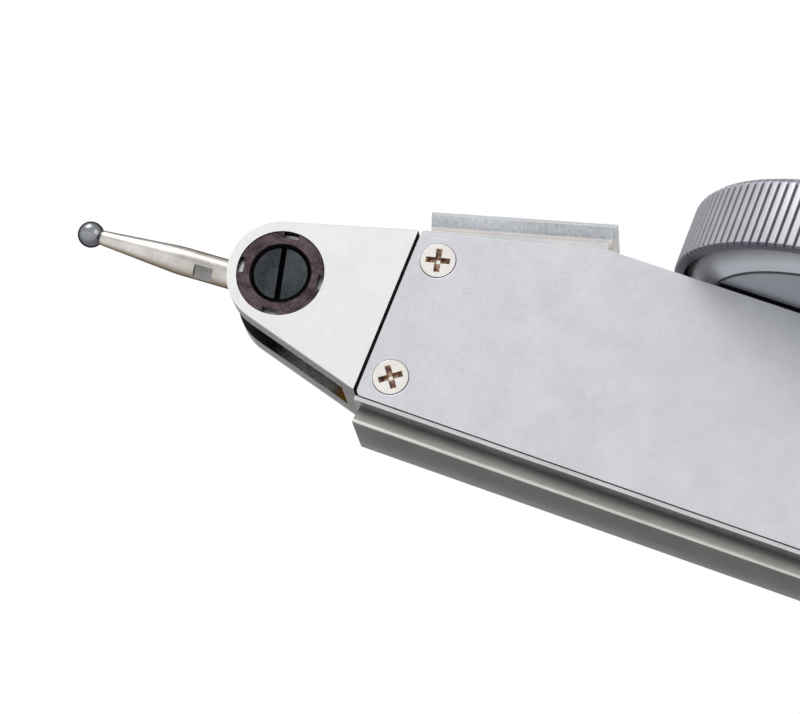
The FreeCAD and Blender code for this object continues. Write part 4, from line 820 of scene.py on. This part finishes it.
@dataclass
class Neck:
    """The forked neck with the two screws and lock rings that carry the lever."""

    neck_break: float = 0.1
    ring_break: float = 0.04

    def build(self) -> None:
        """Make and dress the pieces."""
        neck = ((-37.0, -5.0, 0.0), (-23.0, 5.0, 20.0))
        slot = ((-37.0, -2.3, 0.0), (-23.7, 2.3, 20.0))
        # The underside, the broken edges, the slot and the joint faces carry painted shade, and the slot's
        # end a painted brass glint.
        regions = [
            *both_sides(NECK_BREAK_SHADE, (-0.3, -0.7, 0.65), 0.8),
            *both_sides(SLOT_SHADE_AND_GLINT, NEAR, 0.5, *slot),
            Region(SLOT_END_GLINT, AHEAD, 0.9, (-25.5, -2.1, 0.0), (-24.5, 2.1, 20.0)),
            Region(JOINT_SHADE, ALONG, 0.5, (-23.8, -5.0, 0.0), (-19.0, 5.0, 20.0)),
            Region(GROUND_STEEL, NEAR, 0.6, (-37.0, -5.0, 0.0), (-23.0, -3.0, 20.0)),
            Region(GROUND_STEEL, ACROSS, 0.6, (-37.0, 3.0, 0.0), (-23.0, 5.0, 20.0)),
            Region(NECK_UNDERSIDE_SHADE, DOWN, 0.05, *neck),
            Region(NECK_TOP, UPRIGHT, 0.05, *neck),
        ]
        eased_copy("neck_fork", GROUND_STEEL, "housing", self.neck_break, regions)
        for side in ("near", "far"):
            eased_copy(f"pivot_ring_{side}", BLACK_OXIDE, "housing", self.ring_break)
            eased_copy(f"pivot_screw_{side}", BLUED_STEEL, "housing", self.ring_break)


@dataclass
class Stylus:
    """The contact point: ball, tapered shank and the hub that the clutch holds. In millimetres."""

    ball_radius: float = 1.0
    ball_bite: float = 0.2
    tip_radius: float = 0.55
    shank_radius: float = 1.08
    taper_length: float = 7.4
    taper_round: tuple[float, float] = (0.4, 0.3)
    taper_drop: float = 0.02
    flat_start: float = 8.75
    flat_length: float = 1.45
    flat_half: float = 0.9
    flat_wall: float = 0.01
    flat_roll: float = 46.0
    hub_radius: float = 2.0
    hub_entry: float = 0.4
    step: float = 0.25
    facets: int = 128

    def shank(self) -> None:
        """Taper, parallel stretch with two spanner flats, and the step that enters the hub."""
        length = (PIVOT - BALL).length * 1000
        flat = -length + self.flat_start
        ends = (flat, flat + self.flat_length)
        root = -self.hub_radius - self.step
        tip = -length + self.ball_radius - self.ball_bite
        taper = -length + self.taper_length
        entry = -self.hub_radius + self.hub_entry
        corners = [
            (0.0, tip),
            (self.tip_radius, tip),
            (self.shank_radius - self.taper_drop, taper - self.taper_round[0]),
            (self.shank_radius, taper + self.taper_round[1]),
            (self.shank_radius, ends[0] - self.flat_wall),
            (self.shank_radius, ends[0]),
            (self.shank_radius, ends[1]),
            (self.shank_radius, ends[1] + self.flat_wall),
            (self.shank_radius, root - self.step),
            (self.shank_radius - self.step, root),
            (self.shank_radius - self.step, entry),
            (0.0, entry),
        ]
        ring = [(mm(reach), mm(height)) for reach, height in corners]
        work = spun(ring, Vector(), Axis.X, self.facets)
        roll = math.radians(self.flat_roll)
        margin = self.flat_wall / 2
        for sign in (-1.0, 1.0):
            way = Vector((0.0, math.cos(roll), math.sin(roll))) * sign
            for vert in work.verts:
                over = vert.co.dot(way) - mm(self.flat_half)
                if over > 0 and mm(ends[0] - margin) < vert.co.x < mm(ends[1] + margin):
                    vert.co -= way * over
        lean = Matrix.Rotation(-STYLUS_LEAN, 4, "Y")
        work.transform(Matrix.Translation(PIVOT) @ lean)
        flats = [
            Region(
                FLAT_STEEL,
                (0.0, sign * math.cos(roll), sign * math.sin(roll)),
                0.99,
                (PIVOT.x * 1000 + ends[0] + 0.02, -2.0, 0.0),
                (PIVOT.x * 1000 + ends[1] - 0.02, 2.0, 20.0),
            )
            for sign in (-1.0, 1.0)
        ]
        piece = new_piece(work, "stylus_shank_turned", STYLUS_STEEL, "stylus", ["stylus_shank"], flats)
        even_normals(piece)

    def ball(self) -> None:
        """Lapped ball, turned about the shank's axis."""
        radius = mm(self.ball_radius)
        turns = [math.radians(3.0 + 174.0 * index / 40) for index in range(41)]
        rings = [(radius * math.sin(turn), -radius * math.cos(turn)) for turn in turns]
        work = spun([(0.0, -radius), *rings, (0.0, radius)], Vector(), Axis.X, 96)
        work.transform(Matrix.Translation(BALL) @ Matrix.Rotation(-STYLUS_LEAN, 4, "Y"))
        new_piece(work, "contact_ball_lapped", CARBIDE, "stylus", ["contact_ball"])

    def build(self) -> None:
        """Make and dress the pieces."""
        self.shank()
        self.ball()
        eased_copy("stylus_hub", TURNED_STEEL, "stylus", 0.04)
        dress("clutch_sleeve", TURNED_STEEL)
        dress("clutch_washers", SPRING_BRONZE)


@dataclass
class Movement:
    """The lever, the gear train and the springs, inside the frame."""

    finishes: tuple[tuple[Finish, tuple[str, ...]], ...] = (
        (LEVER_BRASS, ("lever_fork", "sector_arm")),
        (TURNED_STEEL, ("lever_rivets", "spring_post", "gear_arbor", "hand_arbor", "hairspring_stud")),
        (WHEEL_BRASS, ("crown_wheel", "arbor_bush_near", "arbor_bush_far")),
        (WHEEL_BRASS, ("hand_bush", "hand_bridge", "hairspring_collet")),
        (SPRING_WIRE, ("return_spring",)),
        (SPRING_BRONZE, ("hairspring",)),
    )

    def build(self) -> None:
        """Dress the nodes, which keep their own shapes."""
        for finish, nodes in self.finishes:
            for node in nodes:
                dress(node, finish)


@dataclass
class DialHead:
    """The dial case, the turning bezel, the dial under its crystal, and the hand. In millimetres."""

    grooves: int = 126
    stations: tuple[float, ...] = (0.08, 0.0, 0.0, 0.0, 0.0, 0.08, 1.0, 1.0)
    groove_depth: float = 0.22
    low_chamfer: float = 0.3
    wall: float = 0.75
    lip: float = 0.85
    lip_slope: float = 0.74
    crystal_wall: float = 1.55
    divisions: int = 60
    numbers: tuple[int, ...] = (0, 5, 10, 15, 10, 5)
    tick_width: float = 0.09
    tick_long: float = 1.9
    tick_middle: float = 1.45
    tick_short: float = 1.1
    tick_edge: float = 0.75
    tick_bold: float = 1.5
    ink: float = 0.012
    number_height: float = 2.7
    number_reach: float = 8.9
    number_weight: float = 0.03
    dome_rise: float = 0.25
    dome_gap: float = 0.005
    dome_steps: int = 14
    lens_facets: int = 128

    def bezel(self) -> None:
        """Coin-edged ring: a spun ring whose band is pressed in at each groove."""
        low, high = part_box("bezel")
        radius = (high.x - low.x) / 2
        centre = Vector((DIAL.x, DIAL.y, 0.0))
        chamfer = mm(self.low_chamfer)
        slope = high.z - mm(self.lip_slope)
        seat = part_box("crystal")[0].z
        inner = radius - mm(self.crystal_wall)
        profile = [
            (radius - mm(self.wall), low.z),
            (radius - chamfer - mm(0.1), low.z),
            (radius - chamfer * 0.4, low.z + chamfer * 0.25),
            (radius - mm(0.02), low.z + chamfer * 0.8),
            (radius, low.z + chamfer * 1.25),
            (radius, slope - mm(0.12)),
            (radius - mm(0.05), slope + mm(0.06)),
            (radius - mm(self.lip) * 0.45, slope + (high.z - slope) * 0.6),
            (radius - mm(self.lip), high.z - mm(0.03)),
            (radius - mm(self.lip) - mm(0.05), high.z),
            (inner + mm(0.04), high.z),
            (inner, high.z - mm(0.04)),
            (inner, seat),
            (inner - mm(0.35), seat),
            (radius - mm(self.wall), seat - mm(0.3)),
        ]
        per_groove = len(self.stations)
        work = spun(profile, centre, Axis.Z, self.grooves * per_groove)
        step = FULL_TURN / (self.grooves * per_groove)
        band = (low.z + chamfer * 0.2, slope + (high.z - slope) * 0.5)
        for vert in work.verts:
            out = vert.co - centre
            reach = math.hypot(out.x, out.y)
            if reach < radius - mm(self.groove_depth) * 0.9 or not band[0] < vert.co.z < band[1]:
                continue
            station = round(math.atan2(out.y, out.x) / step) % per_groove
            depth = self.stations[station]
            if depth:
                target = radius - mm(self.groove_depth) * depth
                share = min(1.0, target / reach)
                vert.co.x = centre.x + out.x * share
                vert.co.y = centre.y + out.y * share
        bmesh.ops.recalc_face_normals(work, faces=work.faces)
        piece = new_piece(work, "bezel_knurled", BEZEL_ALLOY, "bezel_set", ["bezel"], (), 40.0)

        def reach_of(spot: Vector) -> float:
            """The distance of a place from the bezel's axis."""
            out = spot - centre
            return math.hypot(out.x, out.y)

        def in_groove(spot: Vector) -> bool:
            """Whether a place is below the lands, within the knurled band."""
            return band[0] < spot.z < band[1] and inner < reach_of(spot) < radius - mm(0.06)

        edge_top = low.z + chamfer * 0.6
        # Painted shade in the knurl's grooves.
        paint(piece, BEZEL_GROOVE_SHADE, in_groove)
        # Painted shade on the bezel's under-edge.
        paint(piece, BEZEL_EDGE_SHADE, lambda spot: spot.z < edge_top and reach_of(spot) > inner)

    def crystal(self) -> None:
        """Clear lens with a low dome, inside the crystal's own box."""
        low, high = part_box("crystal")
        radius = (high.x - low.x) / 2
        rise = mm(self.dome_rise)
        dome = (radius * radius + rise * rise) / (2 * rise)
        top = high.z - mm(self.dome_gap)
        profile = [(0.0, low.z), (radius, low.z)]
        for index in range(self.dome_steps + 1):
            reach = radius * (1 - index / self.dome_steps)
            profile.append((reach, top - dome + math.sqrt(dome * dome - reach * reach)))
        work = spun(profile, Vector((DIAL.x, DIAL.y, 0.0)), Axis.Z, self.lens_facets)
        new_piece(work, "crystal_lens", ACRYLIC, "bezel_set", ["crystal"])

    def ticks(self) -> None:
        """Graduations: long at each number, middling at each half, short between."""
        low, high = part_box("dial_plate")
        edge = (high.x - low.x) / 2 - mm(self.tick_edge)
        work = bmesh.new()
        labelled = self.divisions // len(self.numbers)
        for index in range(self.divisions):
            length = self.tick_short
            if index % labelled == 0:
                length = self.tick_long
            elif index % (labelled // 2) == 0:
                length = self.tick_middle
            width = self.tick_width * (self.tick_bold if index % labelled == 0 else 1.0)
            made = bmesh.ops.create_cube(work, size=1.0)["verts"]
            bmesh.ops.scale(work, verts=made, vec=(mm(length), mm(width), mm(self.ink)))
            bmesh.ops.translate(work, verts=made, vec=(edge - mm(length) / 2, 0.0, 0.0))
            turn = Matrix.Rotation(FULL_TURN * index / self.divisions, 4, "Z")
            bmesh.ops.transform(work, verts=made, matrix=turn)
        bmesh.ops.translate(work, verts=work.verts, vec=(DIAL.x, DIAL.y, high.z + mm(self.ink) / 2))
        new_piece(work, "dial_graduations", DIAL_INK, "bezel_set")

    def figures(self) -> None:
        """Plain numbers round the dial, read with the contact point away from the reader."""
        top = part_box("dial_plate")[1].z
        work = bmesh.new()
        for index, number in enumerate(self.numbers):
            curve = bpy.data.curves.new(f"figure_{index}", "FONT")
            curve.body = str(number)
            curve.size = mm(self.number_height)
            curve.extrude = mm(self.ink) / 2
            curve.align_x = "CENTER"
            curve.align_y = "CENTER"
            curve.resolution_u = 4
            curve.offset = mm(self.number_weight)
            holder = placed(f"figure_{index}", curve)
            bpy.context.view_layer.update()
            shape = bpy.data.meshes.new_from_object(
                holder.evaluated_get(bpy.context.evaluated_depsgraph_get())
            )
            bpy.data.objects.remove(holder)
            bpy.data.curves.remove(curve)
            turn = math.pi - FULL_TURN * index / len(self.numbers)
            reach = mm(self.number_reach)
            place = Vector((
                DIAL.x + reach * math.cos(turn), DIAL.y + reach * math.sin(turn), top + mm(self.ink) / 2
            ))
            shape.transform(Matrix.Translation(place) @ Matrix.Rotation(math.radians(90.0), 4, "Z"))
            work.from_mesh(shape)
            bpy.data.meshes.remove(shape)
        bmesh.ops.remove_doubles(work, verts=work.verts, dist=WELD)
        new_piece(work, "dial_figures", DIAL_INK, "bezel_set")

    def build(self) -> None:
        """Make and dress the pieces."""
        eased_copy("dial_case", CASE_ALLOY, "housing", 0.03)
        dress("case_screws", TURNED_STEEL)
        dress("bezel_wire_ring", SPRING_WIRE)
        self.bezel()
        dress("dial_plate", DIAL_LACQUER)
        self.ticks()
        self.figures()
        dress("dial_snap_ring", SPRING_WIRE)
        self.crystal()
        dress("crystal_gasket", RUBBER)
        eased_copy("pointer", HAND_LACQUER, "hand", 0.02)
        eased_copy("pointer_boss", WHEEL_BRASS, "hand", 0.04)


# ---- studio
@dataclass
class Studio:
    """Camera, floor, world and soft lamps."""

    azimuth: float = 11.966
    elevation: float = -15.213
    roll: float = -22.18
    target: Point = (-22.162, 0.0, 6.628)
    distance: float = 201.5
    lens: float = 122.9
    floor_gap: float = 0.4
    floor_half: float = 1500.0
    sky: float = 0.75
    floor_shine: float = 0.35
    sensor: float = 36.0
    lamps: tuple[tuple[str, Point, float, float], ...] = (
        ("key_lamp", (-220.0, -160.0, 260.0), 230.0, 0.5),
        ("fill_lamp", (240.0, -220.0, 180.0), 260.0, 0.3),
    )

    def camera(self) -> None:
        """Put the camera at the viewing angle."""
        across = math.radians(self.azimuth)
        up = math.radians(self.elevation)
        forward = Vector(
            (-math.sin(across) * math.cos(up), math.cos(across) * math.cos(up), -math.sin(up))
        )
        right = forward.cross(Vector(UPRIGHT)).normalized()
        above = right.cross(forward)
        turn = math.radians(self.roll)
        top = above * math.cos(turn) + right * math.sin(turn)
        side = forward.cross(top)
        data = bpy.data.cameras.new("view_camera")
        data.lens = self.lens
        data.sensor_width = self.sensor
        data.clip_start = mm(10.0)
        data.clip_end = 10.0
        camera = placed("view_camera", data)
        place = Matrix((side, top, -forward)).transposed().to_4x4()
        place.translation = (Vector(self.target) - forward * self.distance) / 1000.0
        camera.matrix_world = place
        bpy.context.scene.camera = camera

    def floor(self) -> None:
        """A pale floor just under the base; from below it is clear, so that it hides nothing."""
        material, tree = fresh_material("pale_floor")
        under = add_node(tree, "ShaderNodeNewGeometry").outputs["Backfacing"]
        ray = add_node(tree, "ShaderNodeLightPath")
        matt = add_node(tree, "ShaderNodeBsdfDiffuse", {"Color": linear("ececec")}).outputs[0]
        settings = {"operation": "MULTIPLY", 1: self.floor_shine}
        shine = add_node(tree, "ShaderNodeMath", settings, {0: ray.outputs["Is Glossy Ray"]}).outputs[0]
        glow = add_node(tree, "ShaderNodeEmission", {}, {"Strength": shine}).outputs[0]
        top = add_node(tree, "ShaderNodeAddShader", {}, {0: matt, 1: glow}).outputs[0]
        clear = add_node(tree, "ShaderNodeBsdfTransparent").outputs[0]
        both = add_node(tree, "ShaderNodeMixShader", {}, {0: under, 1: top, 2: clear}).outputs[0]
        add_node(tree, "ShaderNodeOutputMaterial", {}, {"Surface": both})
        work = bmesh.new()
        bmesh.ops.create_grid(work, x_segments=1, y_segments=1, size=mm(self.floor_half))
        bmesh.ops.translate(work, verts=work.verts, vec=(0.0, 0.0, -mm(self.floor_gap)))
        mesh = bpy.data.meshes.new("pale_floor")
        work.to_mesh(mesh)
        work.free()
        mesh.materials.append(material)
        floor = placed("pale_floor", mesh)

    def world(self) -> None:
        """A white world to look at and to mirror, and a softer one that lights."""
        world = bpy.data.worlds.new("white_room")
        world.use_nodes = True
        tree = world.node_tree
        tree.nodes.clear()
        ray = add_node(tree, "ShaderNodeLightPath").outputs
        seen = ray["Is Camera Ray"]
        for kind in ("Is Glossy Ray", "Is Transmission Ray"):
            links = {0: seen, 1: ray[kind]}
            seen = add_node(tree, "ShaderNodeMath", {"operation": "MAXIMUM"}, links).outputs[0]
        strength = ranged(tree, seen, {"To Min": self.sky, "To Max": 1.0})
        back = add_node(
            tree, "ShaderNodeBackground", {"Color": linear("ffffff")}, {"Strength": strength}
        ).outputs[0]
        add_node(tree, "ShaderNodeOutputWorld", {}, {"Surface": back})
        bpy.context.scene.world = world

    def lamp(self, name: str, place: Point, size: float, power: float) -> None:
        """A soft square lamp that points at the object.

        Args:
            name: The lamp's name.
            place: Where it stands, in millimetres.
            size: Its width in millimetres.
            power: Its power in watts.
        """
        data = bpy.data.lights.new(name, "AREA")
        data.shape = "SQUARE"
        data.size = mm(size)
        data.energy = power
        lamp = placed(name, data)
        at = Vector(place) / 1000.0
        aim = Vector(self.target) / 1000.0 - at
        turn = aim.to_track_quat("-Z", "Y").to_matrix().to_4x4()
        turn.translation = at
        lamp.matrix_world = turn

    def build(self) -> None:
        """Set the studio up."""
        self.camera()
        self.floor()
        self.world()
        for name, place, size, power in self.lamps:
            self.lamp(name, place, size, power)
        bpy.context.scene.view_settings.view_transform = "Standard"


def main() -> None:
    """Build the studio and every sub-assembly in order."""
    logging.basicConfig(level=logging.INFO, format="%(name)s: %(message)s")
    for part in (Studio(), Body(), Neck(), Stylus(), Movement(), DialHead()):
        LOG.info("building %s", type(part).__name__)
        part.build()


if __name__ == "__main__":
    main()
